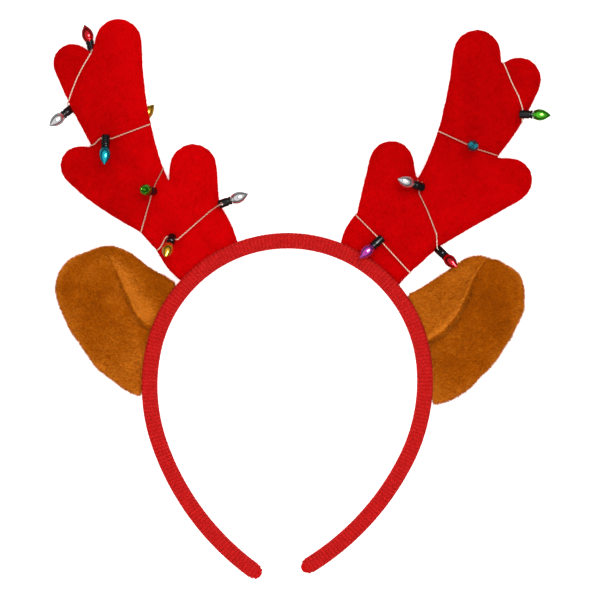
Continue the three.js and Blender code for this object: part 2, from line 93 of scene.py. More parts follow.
flat_lay = bpy.data.cameras.new("flat_lay")
flat_lay.lens = LENS_MM
flat_lay.sensor_width = SENSOR_MM
camera = bpy.data.objects.new("flat_lay", flat_lay)
camera.location = Vector((view_x, view_y, FOCUS_HEIGHT_MM + view_distance)) * MM
scene.collection.objects.link(camera)
scene.camera = camera
scene.view_settings.view_transform = "Standard"
print(f"camera {view_distance:.0f} mm above the table")

# %% Soft boxes
def soft_box(name, place, size, power, mirrored=False):
    """A soft light that faces the headband, in metres and watts. It lights the cloth or, if
    mirrored, the lamps."""
    light = bpy.data.lights.new(name, "AREA")
    light.shape = "RECTANGLE"
    light.size, light.size_y = size
    light.energy = power
    box = bpy.data.objects.new(name, light)
    box.location = place
    box.rotation_euler = (-Vector(place)).to_track_quat("-Z", "Y").to_euler()
    box.visible_camera = False
    box.visible_glossy = mirrored
    box.visible_diffuse = not mirrored
    scene.collection.objects.link(box)


soft_box("strip_overhead", (0.0, 0.3, 1.7), (0.2, 2.2), 11)
soft_box("box_upper_right", (0.65, 0.6, 1.6), (0.6, 0.6), 7)
soft_box("box_left", (-1.1, 0.1, 1.0), (0.5, 1.0), 3)
soft_box("box_near", (0.1, -1.2, 1.0), (1.0, 0.4), 3)
soft_box("streak_card", (0.55, 0.3, 1.6), (0.8, 0.8), 50, mirrored=True)
print("four soft boxes and a card")

# %% [markdown]
# ## Writing nodes as sums
#
# Node trees are easier to read as arithmetic than as boxes and lines. One small class holds a
# socket, and adding or multiplying two of them adds the Math node. Every other node comes from
# its `add` method. The same class serves the materials here and the geometry trees below.

# %% A socket that can be added and multiplied
class Wire:
    """An output socket of a node tree."""

    def __init__(self, tree, socket=None):
        self.tree = tree
        self.socket = socket

    def add(self, kind, settings, inputs, output=0):
        node = self.tree.nodes.new(kind)
        for name, value in settings.items():
            setattr(node, name, value)
        for key, value in inputs.items():
            if isinstance(value, Wire):
                self.tree.links.new(value.socket, node.inputs[key])
            else:
                node.inputs[key].default_value = value
        return Wire(self.tree, node.outputs[output] if node.outputs else None)

    def other(self, output):
        return Wire(self.tree, self.socket.node.outputs[output])

    def maths(self, operation, first, second=0.0):
        return self.add("ShaderNodeMath", {"operation": operation}, {0: first, 1: second})

    def vector(self, operation, second):
        return self.add("ShaderNodeVectorMath", {"operation": operation}, {0: self, 1: second})

    def scaled(self, size):
        return self.add("ShaderNodeVectorMath", {"operation": "SCALE"}, {0: self, "Scale": size})

    def __add__(self, value):
        return self.maths("ADD", self, value)

    def __radd__(self, value):
        return self.maths("ADD", value, self)

    def __sub__(self, value):
        return self.maths("SUBTRACT", self, value)

    def __rsub__(self, value):
        return self.maths("SUBTRACT", value, self)

    def __mul__(self, value):
        return self.maths("MULTIPLY", self, value)

    def __rmul__(self, value):
        return self.maths("MULTIPLY", value, self)


# %% Small words for the materials
def paint(red, green, blue):
    """A colour given in screen values from 0 to 255, as the shader counts it."""
    shares = [value / 255 for value in (red, green, blue)]
    steps = [((s + 0.055) / 1.055) ** 2.4 if s > 0.04045 else s / 12.92 for s in shares]
    return (*steps, 1.0)


def between(wire, low, high, start=0.0, end=1.0):
    """The wire's range from low to high, stretched to run from start to end."""
    return wire.add("ShaderNodeMapRange", {}, {0: wire, 1: low, 2: high, 3: start, 4: end})


def tint(factor, first, second):
    """One colour turning into another as the factor goes from 0 to 1."""
    colours = {0: factor, 6: first, 7: second}
    return factor.add("ShaderNodeMix", {"data_type": "RGBA"}, colours, output=2)


def cloud(where, per_mm, detail=3.0, rough=0.55):
    """Soft noise with that many lumps to the millimetre."""
    values = {"Vector": where, "Scale": per_mm / MM, "Detail": detail, "Roughness": rough}
    return where.add("ShaderNodeTexNoise", {}, values)


def bump(height, depth_mm, strength):
    values = {"Height": height, "Distance": depth_mm * MM, "Strength": strength}
    return height.add("ShaderNodeBump", {}, values)


def number(where, name):
    """A number stored on the mesh, point by point."""
    return where.add("ShaderNodeAttribute", {"attribute_name": name}, {}, output="Fac")


def finish(name, steady, varying):
    """A material with steady values, and wires for what changes over the surface."""
    material = bpy.data.materials.new(name)
    material.use_nodes = True
    tree = material.node_tree
    tree.nodes.clear()
    start = Wire(tree)
    where = start.add("ShaderNodeTexCoord", {}, {}, output="Object")
    shader = start.add("ShaderNodeBsdfPrincipled", {}, {**steady, **varying(where)})
    start.add("ShaderNodeOutputMaterial", {}, {"Surface": shader})
    return material


# %% [markdown]
# ## The room
#
# A mirror is only as interesting as what it mirrors. A picture of a studio could be wrapped round
# the scene, but four bands of brightness do the same work: the pale table below, dark walls, a
# bright ceiling, and straight up the dark lens. The bulbs then show bright bands between dark ones.
# The camera itself sees a plain pale backdrop.

# %% Bands of the room
TABLE_SEEN = 0.45
WALL_LIGHT = 0.06
CEILING_LIGHT = 1.0
LENS_SEEN = 0.3
BACKDROP = 0.9
TABLE_EDGE = (-0.08, 0.0)
CEILING_EDGE = (0.3, 0.75)
LENS_EDGE = (0.98, 0.992)

room = bpy.data.worlds.new("room")
room.use_nodes = True
room.node_tree.nodes.clear()
inside = Wire(room.node_tree)
towards = inside.add("ShaderNodeTexCoord", {}, {}, output="Generated")
upward = inside.add("ShaderNodeSeparateXYZ", {}, {0: towards}, output="Z")
below = between(upward, *TABLE_EDGE, TABLE_SEEN, WALL_LIGHT)
ceiling = between(upward, *CEILING_EDGE, 0.0, CEILING_LIGHT - WALL_LIGHT)
lens = between(upward, *LENS_EDGE, 0.0, LENS_SEEN - CEILING_LIGHT)
seen = inside.add("ShaderNodeLightPath", {}, {}, output="Is Camera Ray")
brightness = (below + ceiling + lens) * (1 - seen) + seen * BACKDROP
background = inside.add("ShaderNodeBackground", {}, {"Strength": brightness})
inside.add("ShaderNodeOutputWorld", {}, {"Surface": background})
scene.world = room
print(f"ceiling {CEILING_LIGHT}, walls {WALL_LIGHT}, backdrop {BACKDROP}")

# %% [markdown]
# ## The finishes
#
# Felt is pressed wool: dull, a little mottled, with a faint glow at grazing angles. The knit is
# the same red in smoother yarn. Felt and plush take their colour from a number stored on the
# mesh. On the plush it is the nap, light or dark by the way it was brushed, with painted light
# on rims and flap and painted shadow under the lip. On the felt it is painted light and shade.
# The lamps are moulded plastic with a mirror coating, in black sockets, and their thread is spun
# with metal foil, with painted shade on its middle turns.

# %% Cloth finishes
def strands(where, per_mm):
    """Thin winding lines, as hairs pressed flat."""
    values = {"Vector": where, "Scale": per_mm / MM, "Detail": 2.0, "Distortion": 1.4}
    winding = where.add("ShaderNodeTexNoise", {}, values)
    return between(winding.maths("ABSOLUTE", winding - 0.5), 0.0, 0.05, 1.0, 0.0)


def felt_look(where):
    broad = cloud(where, 0.12, 3.0)
    fine = cloud(where, 1.0, 4.0, 0.75)
    hair = strands(where, 0.45) * 0.6 + strands(where, 0.8) * 0.4
    mottle = between(broad, 0.32, 0.68, -0.2, 0.2) + between(fine, 0.2, 0.8, -0.25, 0.25)
    # The stored number lays painted light and shade over the wool's colour.
    wool = tint(number(where, "nap_and_painted_light") + mottle, paint(164, 0, 1), paint(203, 0, 3))
    lit = between(number(where, "tone"), 0.0, 0.5, 0.0, 0.5) + hair * 0.4
    colour = tint(lit, wool, paint(224, 8, 12))
    relief = fine + hair * 0.5 + cloud(where, 3.2, 2.0)
    return {"Base Color": colour, "Normal": bump(relief, 0.16, 0.4)}


def yarn_look(where):
    twist = cloud(where, 1.6, 3.0, 0.65)
    shade = (number(where, "tone") + 0.5) * 0.5 + between(twist, 0.3, 0.7) * 0.5
    colour = tint(shade, paint(187, 18, 17), paint(208, 32, 30))
    return {"Base Color": colour, "Normal": bump(twist, 0.1, 0.5)}


def core_look(where):
    weave = cloud(where, 1.4, 2.0)
    return {"Base Color": tint(weave, paint(190, 15, 15), paint(206, 22, 21))}


def plush_look(where):
    tuft = cloud(where, 0.9, 4.0, 0.7)
    streak = cloud(where.vector("MULTIPLY", (0.35, 1, 1)), 1.5, 3.0, 0.65)
    lie = between(tuft + streak, 0.7, 1.3, -0.16, 0.16)
    # The stored number is the pile's nap with painted light and shade.
    brushed_and_lit = number(where, "nap_and_painted_light") + number(where, "tone") * 0.7 + lie
    deep = tint(between(brushed_and_lit, 0.0, 0.5), paint(122, 48, 0), paint(176, 86, 0))
    colour = tint(between(brushed_and_lit, 0.5, 1.0), deep, paint(230, 138, 38))
    return {"Base Color": colour, "Normal": bump(tuft, 0.2, 0.5)}


dull = {"Roughness": 0.95, "Specular IOR Level": 0.01, "Sheen Roughness": 0.5}
red_glow = {"Sheen Weight": 0.08, "Sheen Tint": paint(255, 60, 60)}
brown_glow = {"Sheen Weight": 0.2, "Sheen Tint": paint(255, 170, 70)}
felt_red = finish("felt_red", {**dull, **red_glow}, felt_look)
yarn_red = finish("yarn_red", {**dull, **red_glow, "Specular IOR Level": 0.08}, yarn_look)
core_red = finish("core_red", dull, core_look)
plush_brown = finish("plush_brown", {**dull, **brown_glow}, plush_look)
print("four cloth finishes")


# %% Lamp, socket, thread and table finishes
def coated(colour, dark):
    """A mirror coating that is a little uneven, as sprayed plastic is."""

    def look(where):
        uneven = cloud(where, 0.5, 2.0)
        return {
            "Base Color": tint(uneven, dark, colour),
            "Roughness": between(uneven, 0.2, 0.8, 0.03, 0.1),
        }

    return look


def socket_look(where):
    scuff = cloud(where, 0.8, 3.0)
    return {
        "Base Color": tint(scuff, paint(6, 6, 7), paint(16, 15, 17)),
        "Roughness": between(scuff, 0.2, 0.8, 0.14, 0.26),
    }


# The thread is painted darker round this height in mm, as shade where the foil shows no glint.
SHADED_MIDDLE = 28.0
SHADE_REACH = (4.0, 30.0)


def thread_look(where):
    """Two plies, copper and gold. The middle turns get painted shade, as foil that shows no glint.
    """
    foil = cloud(where, 2.2, 2.0)
    height = where.add("ShaderNodeSeparateXYZ", {}, {0: where}, output="Y")
    away = height.maths("ABSOLUTE", height - SHADED_MIDDLE * MM)
    shine = between(away, SHADE_REACH[0] * MM, SHADE_REACH[1] * MM)
    ply = number(where, "ply")
    gold = tint(foil, paint(255, 234, 208), paint(255, 250, 240))
    bright = tint(ply, paint(236, 166, 132), gold)
    shaded_foil = tint(ply, paint(158, 76, 58), paint(206, 142, 118))
    return {
        "Base Color": tint(shine, shaded_foil, bright),
        "Roughness": between(foil, 0.2, 0.8, 0.3, 0.5),
    }


def table_look(where):
    grey = paint(246, 246, 246)
    return {"Base Color": tint(cloud(where, 0.004, 2.0), grey, paint(250, 250, 249))}


BULB_PAINTS = {
    "red": (paint(240, 8, 30), paint(190, 2, 14)),
    "silver": (paint(244, 242, 243), paint(216, 213, 216)),
    "gold": (paint(255, 200, 52), paint(232, 160, 20)),
    "teal": (paint(0, 206, 226), paint(0, 160, 188)),
    "green": (paint(104, 226, 40), paint(50, 170, 14)),
    "magenta": (paint(236, 96, 214), paint(190, 48, 172)),
}
mirror = {"Metallic": 0.94, "Coat Weight": 0.5, "Coat Roughness": 0.04}
bulb_finishes = {}
for colour_name, (bright, dark) in BULB_PAINTS.items():
    bulb_finishes[colour_name] = finish(f"bulb_{colour_name}", mirror, coated(bright, dark))

moulded = {"Specular IOR Level": 0.35}
socket_black = finish("socket_black", moulded, socket_look)
thread_gold = finish("thread_gold", {"Metallic": 0.05}, thread_look)
glow = {"Emission Color": paint(255, 255, 255), "Emission Strength": 0.75}
flat_white = {"Roughness": 0.9, "Specular IOR Level": 0.1, **glow}
table_white = finish("table_white", flat_white, table_look)
print(f"{len(bulb_finishes)} bulb finishes")

# %% The table
TABLE_HALF = 6.0


def paint_over(mesh, material):
    mesh.materials.clear()
    mesh.materials.append(material)


def new_piece(name, mesh, material=None):
    if material:
        paint_over(mesh, material)
    piece = bpy.data.objects.new(name, mesh)
    scene.collection.objects.link(piece)
    return piece


table_mesh = bpy.data.meshes.new("table")
table_corners = [(-1, -1, 0), (1, -1, 0), (1, 1, 0), (-1, 1, 0)]
table_places = [Vector(corner) * TABLE_HALF for corner in table_corners]
table_mesh.from_pydata(table_places, [], [(0, 1, 2, 3)])
table = new_piece("table", table_mesh, table_white)
table.visible_glossy = False
print(f"table {2 * TABLE_HALF:.0f} m wide")

# %% [markdown]
# ## Trees that repeat a shape
#
# Stitches, fibres and twisted thread are one small shape repeated by a rule, which is what
# Geometry Nodes are for. Each tree has named sizes, set on the modifier before it first runs.
# The result is then copied out as a plain mesh, so nothing depends on the modifier later.

# %% Helpers for geometry trees
FLOAT = "NodeSocketFloat"
WHOLE = "NodeSocketInt"
MATERIAL = "NodeSocketMaterial"


def open_tree(name, sizes):
    """A new geometry tree with a named input for each size, and the wires from them."""
    tree = bpy.data.node_groups.new(name, "GeometryNodeTree")
    tree.interface.new_socket("Geometry", in_out="INPUT", socket_type="NodeSocketGeometry")
    for title, kind in sizes.items():
        tree.interface.new_socket(title, in_out="INPUT", socket_type=kind)
    tree.interface.new_socket("Geometry", in_out="OUTPUT", socket_type="NodeSocketGeometry")
    entry = tree.nodes.new("NodeGroupInput")
    return tree, {title: Wire(tree, entry.outputs[title]) for title in ("Geometry", *sizes)}


def close_tree(shape, material):
    """The tree's last steps: real geometry, smooth shading and a finish."""
    real = shape.add("GeometryNodeRealizeInstances", {}, {"Geometry": shape})
    smooth = real.add("GeometryNodeSetShadeSmooth", {}, {"Geometry": real})
    painted = smooth.add("GeometryNodeSetMaterial", {}, {"Geometry": smooth, "Material": material})
    painted.add("NodeGroupOutput", {}, {"Geometry": painted})


def settled(piece):
    """The piece's mesh with its modifiers worked in."""
    depsgraph = bpy.context.evaluated_depsgraph_get()
    return bpy.data.meshes.new_from_object(piece.evaluated_get(depsgraph), depsgraph=depsgraph)


def grown(name, base, tree, values):
    """A new piece, made by running a tree on a base."""
    modifier = base.modifiers.new(tree.name, "NODES")
    modifier.node_group = tree
    for item in tree.interface.items_tree:
        if item.in_out == "INPUT" and item.name in values:
            modifier[item.identifier] = values[item.name]
    mesh = settled(base)
    base.modifiers.remove(modifier)
    mesh.name = name
    piece = new_piece(name, mesh)
    print(f"{name}: {len(mesh.polygons)} faces")
    return piece


def random_number(wire, low, high, seed, kind="FLOAT"):
    """A different number, or vector, for each point."""
    at = {"FLOAT": (2, 3, 1), "FLOAT_VECTOR": (0, 1, 0)}[kind]
    values = {at[0]: low, at[1]: high, "Seed": seed}
    return wire.add("FunctionNodeRandomValue", {"data_type": kind}, values, output=at[2])


def stored(wire, name, kind):
    """A value that the base mesh carries."""
    return wire.add("GeometryNodeInputNamedAttribute", {"data_type": kind}, {"Name": name})


def marked(shape, name, value, domain="INSTANCE"):
    """Stores a number on the geometry, for a finish to read."""
    kind = {"data_type": "FLOAT", "domain": domain}
    values = {"Geometry": shape, "Name": name, "Value": value}
    return shape.add("GeometryNodeStoreNamedAttribute", kind, values)


def turned_on(rotation, angle):
    """A rotation with a further turn round its own upright axis."""
    turn = {"Axis": (0, 0, 1), "Angle": angle}
    by = rotation.add("FunctionNodeAxisAngleToRotation", {}, turn)
    both = {"Rotation": rotation, "Rotate By": by}
    return rotation.add("FunctionNodeRotateRotation", {"rotation_space": "LOCAL"}, both)


def repeated(points, shape, rotation, scale, seed):
    """The shape on every point, each with a tone of its own."""
    laid = {"Points": points, "Instance": shape, "Rotation": rotation, "Scale": scale}
    copies = points.add("GeometryNodeInstanceOnPoints", {}, laid)
    return marked(copies, "tone", random_number(points, -0.5, 0.5, seed))


# %% Reading and moving the points of a mesh
def coordinates(mesh):
    values = np.empty(len(mesh.vertices) * 3)
    mesh.vertices.foreach_get("co", values)
    return values.reshape(-1, 3)


def set_coordinates(mesh, values):
    mesh.vertices.foreach_set("co", np.ravel(values))
    mesh.update()


def vertex_normals(mesh):
    values = np.empty(len(mesh.vertices) * 3, dtype=np.float32)
    mesh.vertex_normals.foreach_get("vector", values)
    return values.reshape(-1, 3)


def kept_on_table(mesh):
    """Lifts the points of a mesh that would dip below the table."""
    set_coordinates(mesh, np.maximum(coordinates(mesh), (-1, -1, 0)))


# %% [markdown]
# ## The hoop and its knitted sleeve
#
# The hoop is a flat spring strip inside a knitted tube. It follows three arcs down each side of
# the crown, the same values as the solid. A bump map could draw the knit, but its edge would stay
# smooth, so the stitches are modelled: slim grains in pairs that lean towards each other make the
# columns of a plain knit. A plain core under them closes the gaps.

# %% The hoop's line
SLEEVE_THICK = 6.7
SLEEVE_WIDE = 9.5
SLEEVE_CORNER = 2.2
SLEEVE_TIP = 5.0
HOOP_ARCS = ((59, 81.3), (75, 31.4), (113.4, 45))
HOOP_LEAN = math.radians(-3.9)
REACH_LEFT = 198.5
REACH_RIGHT = 191.5


def hoop_frame(station):
    """Centre and outward direction of the hoop, at a length along it from the crown, in mm."""
    side = -1 if station < 0 else 1
    x = y = turned = 0.0
    remaining = abs(station)
    for radius, sweep in HOOP_ARCS:
        angle = min(remaining / radius, math.radians(sweep))
        x += radius * (math.sin(turned + angle) - math.sin(turned))
        y += radius * (math.cos(turned + angle) - math.cos(turned))
        turned += angle
        remaining -= angle * radius
    lean = Matrix.Rotation(HOOP_LEAN, 2)
    return lean @ Vector((side * x, y)), lean @ Vector((side * math.sin(turned), math.cos(turned)))


def hoop_point(station, outset):
    centre, outward = hoop_frame(station)
    return np.array(centre + outward * outset)


def rounding(distance, radius):
    """How full a shape is, at a distance in from its rounded edge."""
    share = min(distance / radius, 1.0)
    return math.sqrt(1 - (1 - share) ** 2)


def tip_shrink(station):
    """How much of the sleeve's section is left near its closed ends."""
    return rounding(min(station + REACH_LEFT, REACH_RIGHT - station), SLEEVE_TIP)


print(f"hoop {REACH_LEFT + REACH_RIGHT:.0f} mm long")

# %% The sleeve's section
CORNER_STEPS = 16


def sleeve_section(count, inset):
    """Even points round the sleeve, as outset and height, with their outward directions."""
    outline = []
    for out, up, start in ((1, 1, 0), (-1, 1, 90), (-1, -1, 180), (1, -1, 270)):
        for step in range(CORNER_STEPS + 1):
            angle = math.radians(start + 90 * step / CORNER_STEPS)
            across = out * (SLEEVE_THICK / 2 - SLEEVE_CORNER)
            height = up * (SLEEVE_WIDE / 2 - SLEEVE_CORNER)
            spoke = np.array((math.cos(angle), math.sin(angle)))
            outline.append((np.array((across, height)) + spoke * (SLEEVE_CORNER - inset), spoke))
    places = np.array([place for place, _ in outline])
    spokes = np.array([spoke for _, spoke in outline])
    closed = np.vstack((places, places[:1]))
    lengths = np.concatenate(([0], np.cumsum(np.linalg.norm(np.diff(closed, axis=0), axis=1))))
    wanted = np.arange(count) / count * lengths[-1]

    def spread(values):
        looped = np.vstack((values, values[:1]))
        return np.stack([np.interp(wanted, lengths, looped[:, k]) for k in range(2)], axis=1)

    normals = spread(spokes)
    return spread(places), normals / np.linalg.norm(normals, axis=1, keepdims=True)


def on_sleeve(station, section):
    """Where the points of a section are, at a station of the hoop."""
    centre, outward = hoop_frame(station)
    shrink = tip_shrink(station)
    plans = [centre + outward * out * shrink for out, _ in section]
    return [(*plan, SLEEVE_WIDE / 2 + up * shrink) for plan, (_, up) in zip(plans, section)]


# %% A closed skin through rings
def store(mesh, name, kind, values):
    """Writes one value for each vertex on a mesh."""
    layer = mesh.attributes.new(name, kind, "POINT")
    layer.data.foreach_set("vector" if kind == "FLOAT_VECTOR" else "value", np.ravel(values))


def merged(mesh, reach, turn_outwards=False):
    """Merges the points of a mesh that coincide. A new mesh also has its faces turned outwards."""
    work = bmesh.new()
    work.from_mesh(mesh)
    bmesh.ops.remove_doubles(work, verts=work.verts, dist=reach)
    if turn_outwards:
        bmesh.ops.recalc_face_normals(work, faces=work.faces)
    work.to_mesh(mesh)
    work.free()


def lofted(name, rings, marks=None):
    """A mesh through rings of points in mm, closed round each ring and at both ends. Marks are
    numbers to store, one for each point."""
    rows, count = rings.shape[:2]
    faces = []
    for row in range(rows - 1):
        for i in range(count):
            j = (i + 1) % count
            here = row * count
            faces.append((here + i, here + j, here + count + j, here + count + i))
    faces.append(tuple(range(count)))
    faces.append(tuple(range((rows - 1) * count, rows * count)))
    mesh = bpy.data.meshes.new(name)
    mesh.from_pydata((rings.reshape(-1, 3) * MM).tolist(), [], faces)
    for mark, values in (marks or {}).items():
        store(mesh, mark, "FLOAT", values)
    merged(mesh, 1e-7, turn_outwards=True)
    mesh.shade_smooth()
    return mesh


# %% The core of the sleeve
CORE_INSET = 0.2
CORE_STEP = 2.0
CORE_AROUND = 48
CORE_TIP_SHARES = (0.04, 0.12, 0.25, 0.4, 0.6, 0.8)


def hand_over(piece, node=None):
    """Fixes a piece to the headband and hides the solid that it stands for."""
    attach(piece, "root")
    if node:
        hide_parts(node)


tips = [SLEEVE_TIP * share for share in CORE_TIP_SHARES]
between_tips = np.arange(SLEEVE_TIP - REACH_LEFT, REACH_RIGHT - SLEEVE_TIP, CORE_STEP)
stations = [*(inset - REACH_LEFT for inset in tips), *between_tips]
stations += [REACH_RIGHT - inset for inset in reversed(tips)]
section, _ = sleeve_section(CORE_AROUND, CORE_INSET)
core_rings = np.array([on_sleeve(station, section) for station in stations])
sleeve_core = new_piece("sleeve_core", lofted("sleeve_core", core_rings), core_red)
hand_over(sleeve_core, "band")
print(f"sleeve_core: {len(sleeve_core.data.polygons)} faces")


# %% Where the stitches sit
STITCH_PITCH = 1.6
STITCH_COLUMNS = 30
STITCH_INSET = 0.12
STITCH_MARGIN = 1.6
STITCH_TIP_SIZE = 0.35

spots, spot_normals = sleeve_section(STITCH_COLUMNS, STITCH_INSET)
places, outwards, alongs, leans, sizes = [], [], [], [], []
for station in np.arange(STITCH_MARGIN - REACH_LEFT, REACH_RIGHT - STITCH_MARGIN, STITCH_PITCH):
    _, outward = hoop_frame(station)
    places += on_sleeve(station, spots)
    for column, (out, up) in enumerate(spot_normals):
        outwards.append((*(outward * out), up))
        alongs.append((outward.y, -outward.x, 0))
        leans.append(1 - 2 * (column % 2))
        sizes.append(STITCH_TIP_SIZE + (1 - STITCH_TIP_SIZE) * tip_shrink(station))
guide_mesh = bpy.data.meshes.new("stitch_guide")
guide_mesh.from_pydata((np.array(places) * MM).tolist(), [], [])
store(guide_mesh, "outward", "FLOAT_VECTOR", outwards)
store(guide_mesh, "along", "FLOAT_VECTOR", alongs)
store(guide_mesh, "lean", "FLOAT", leans)
store(guide_mesh, "size", "FLOAT", sizes)
stitch_guide = new_piece("stitch_guide", guide_mesh)
print(f"{len(places)} stitches")


# %% The tree that lays the stitches
def stitch_tree():
    sizes = dict.fromkeys(("Length", "Width", "Depth", "Slant"), FLOAT)
    tree, size = open_tree("knit_stitches", {**sizes, "Seed": WHOLE, "Yarn": MATERIAL})
    guide = size["Geometry"]
    spots = guide.add("GeometryNodeMeshToPoints", {}, {"Mesh": guide})
    grain = guide.add("GeometryNodeMeshUVSphere", {}, {"Segments": 6, "Rings": 3, "Radius": 0.5})
    sides = {0: size["Length"], 1: size["Width"], 2: size["Depth"]}
    shape = guide.add("ShaderNodeCombineXYZ", {}, sides)
    leg = guide.add("GeometryNodeTransform", {}, {"Geometry": grain, "Scale": shape})
    axes = {
        "Primary Axis": stored(guide, "outward", "FLOAT_VECTOR"),
        "Secondary Axis": stored(guide, "along", "FLOAT_VECTOR"),
    }
    facing = {"primary_axis": "Z", "secondary_axis": "X"}
    flat = guide.add("FunctionNodeAxesToRotation", facing, axes)
    rotation = turned_on(flat, stored(guide, "lean", "FLOAT") * size["Slant"])
    scale = stored(guide, "size", "FLOAT") * random_number(guide, 0.92, 1.08, size["Seed"])
    close_tree(repeated(spots, leg, rotation, scale, size["Seed"] + 1), size["Yarn"])
    return tree


stitch_sizes = {
    "Length": 2.3 * MM,
    "Width": 1.12 * MM,
    "Depth": 0.36 * MM,
    "Slant": math.radians(24),
    "Seed": 3,
    "Yarn": yarn_red,
}
sleeve_stitches = grown("sleeve_stitches", stitch_guide, stitch_tree(), stitch_sizes)
bpy.data.objects.remove(stitch_guide)
kept_on_table(sleeve_stitches.data)
hand_over(sleeve_stitches)

# %% [markdown]
# ## Where the lamps hang
#
# Each lamp is a bulb in a socket, with the thread through a hole in the socket. The values are the
# solids' own: where the hole is, which face of the felt the lamp lies on, where the bulb points and
# which way the thread goes through. Antler, thread and lamps lean forward together.

# %% Lamps
FELT_HALF = 2.1
FELT_LEAN = math.radians(4)
FELT_PIVOT = -8.0
GAP = 0.3
SOCKET_RADIUS = 1.85
SOCKET_LENGTH = 5.7
SOCKET_HOLE = 1.3
BULB_RADIUS = 2.5
BULB_LENGTH = 7.5


def lamp(colour, hole, seat, heading, rise, across):
    """A lamp: the hole in mm, the felt's face or a height, the bulb's angles, the thread's way."""
    angles = {"heading": heading, "rise": rise, "across": across}
    return {"colour": colour, "hole": hole, "seat": seat, **angles}


LAMPS = {
    "left": (
        lamp("red", (-87.9, 81.5), -4.8, 107.5, -14, "up"),
        lamp("silver", (-97.4, 56.6), -4.7, 218.4, 20, 90),
        lamp("gold", (-69.4, 49.2), "back", 50, -6, -90),
        lamp("teal", (-82, 44.3), "front", 268, 26, -90),
        lamp("green", (-61.9, 21.7), "front", 162, 66, 90),
        lamp("silver", (-32.3, 16.3), "front", 20.6, 4, "up"),
        lamp("gold", (-53.8, 1.5), "front", 252, 50, -90),
    ),
    "right": (
        lamp("green", (96.6, 54.7), "front", -2, 6, -90),
        lamp("teal", (74.9, 40.8), "front", 65, 84, -90),
        lamp("silver", (53, 23.6), "front", 160, 30, 90),
        lamp("red", (61.2, -4), 1.9, -43, 34, "down"),
        lamp("magenta", (35.6, 0.8), "front", 221, 16, 90),
    ),
}


def lamp_height(row):
    tilt = math.radians(abs(row["rise"]))
    lying = FELT_HALF + GAP + SOCKET_RADIUS * math.cos(tilt) + SOCKET_HOLE * math.sin(tilt)
    heights = {"front": lying, "back": -(FELT_HALF + GAP + BULB_RADIUS)}
    return heights.get(row["seat"], row["seat"])


def lamp_frame(row):
    """The hole's place, the way the bulb points and the way the thread runs, before the lean."""
    heading = math.radians(row["heading"])
    rise = math.radians(row["rise"])
    level = math.cos(rise)
    point = Vector((level * math.cos(heading), level * math.sin(heading), math.sin(rise)))
    hole = Vector((*row["hole"], lamp_height(row)))
    if row["across"] in ("up", "down"):
        upright = Vector((0, 0, 1 if row["across"] == "up" else -1))
        return hole, point, (upright - point * upright.dot(point)).normalized()
    run = heading + math.radians(row["across"])
    return hole, point, Vector((math.cos(run), math.sin(run), 0))


pivot = Matrix.Translation((0, -FELT_PIVOT, 0))
lift = Matrix.Translation((0, FELT_PIVOT, SLEEVE_WIDE / 2))
LEANING = lift @ Matrix.Rotation(FELT_LEAN, 4, "X") @ pivot
print(f"{sum(len(row) for row in LAMPS.values())} lamps")

# %% [markdown]
# ## The thread
#
# A two-ply thread, spun with foil, holds the lamps and is wound tightly round the antler, so it
# is trim and not a free cord. Its stops are the solid's: on a face, through a lamp or round the
# edge. Two round strands could each be drawn as a spiral, but it is simpler to sweep both circles
# along one line and let the line's tilt turn them.

# %% The thread's stops
THREAD_RADIUS = 0.35
THREAD_HEIGHT = FELT_HALF + GAP + THREAD_RADIUS
THREAD_WRAP = 2.4
THREAD_TIGHT = 0.5
WRAP_DEGREES = (90, 60, 30)

ROUTES = {
    "left": (
        ("at", (-80, 76), "back"),
        ("at", (-87.2, 80), -8.2),
        ("lamp", 1),
        ("edge", (-88, 81.3), None, "front"),
        ("at", (-91.5, 75.6), "front"),
        ("at", (-94.2, 70.4), "front"),
        ("at", (-96.2, 65.4), "front"),
        ("edge", (-98.2, 59.9), "front", None),
        ("lamp", 2),
        ("at", (-91.5, 54.3), "back"),
        ("lamp", 3),
        ("edge", (-62.3, 50.5), "back", "front"),
        ("lamp", 4),
        ("edge", (-89.4, 41), "front", "back"),
        ("edge", (-57.2, 31.9), "back", "front"),
        ("lamp", 5),
        ("edge", (-67.7, 3.4), "front", "back"),
        ("at", (-37, 15.5), "back"),
        ("at", (-32.3, 16.3), -2.9),
        ("lamp", 6),
        ("at", (-34.2, 15.4), 6.3),
        ("at", (-36.9, 13.4), "front"),
        ("lamp", 7),
        ("edge", (-61, -4), "front", "back"),
        ("at", (-50.3, -7.3), "back"),
    ),
    "right": (
        ("at", (82.1, 67.5), "back"),
        ("edge", (88.4, 77.2), "back", "front"),
        ("at", (92, 68.4), "front"),
        ("at", (95.2, 62), "front"),
        ("lamp", 1),
        ("edge", (97.1, 50.8), None, "back"),
        ("edge", (60.2, 47.6), "back", "front"),
        ("lamp", 2),
        ("edge", (86.8, 36.9), "front", "back"),
        ("edge", (51.6, 27), "back", "front"),
        ("lamp", 3),
        ("at", (56.4, 12.3), "front"),
        ("at", (60, 3), "front"),
        ("lamp", 4),
        ("at", (60, -3.4), -3.7),
        ("at", (57, 0.5), "back"),
        ("edge", (24.8, 11.8), "back", "front"),
        ("lamp", 5),
        ("edge", (49.2, -14), "front", "back"),
        ("at", (39.1, -9), "back"),
    ),
}


# %% The thread's line
def face_height(face):
    return {"front": THREAD_HEIGHT, "back": -THREAD_HEIGHT}.get(face, face)


def stop_plan(stop, lamps):
    return Vector(lamps[stop[1] - 1]["hole"] if stop[0] == "lamp" else stop[1])


def quarter_round(edge, towards, face):
    """A quarter turn from a face of the felt down to its edge."""
    inward = (towards - edge).normalized()
    turn = []
    for degrees in WRAP_DEGREES:
        angle = math.radians(degrees)
        place = edge + inward * THREAD_WRAP * (1 - math.cos(angle))
        turn.append(Vector((*place, face_height(face) * math.sin(angle))))
    return turn


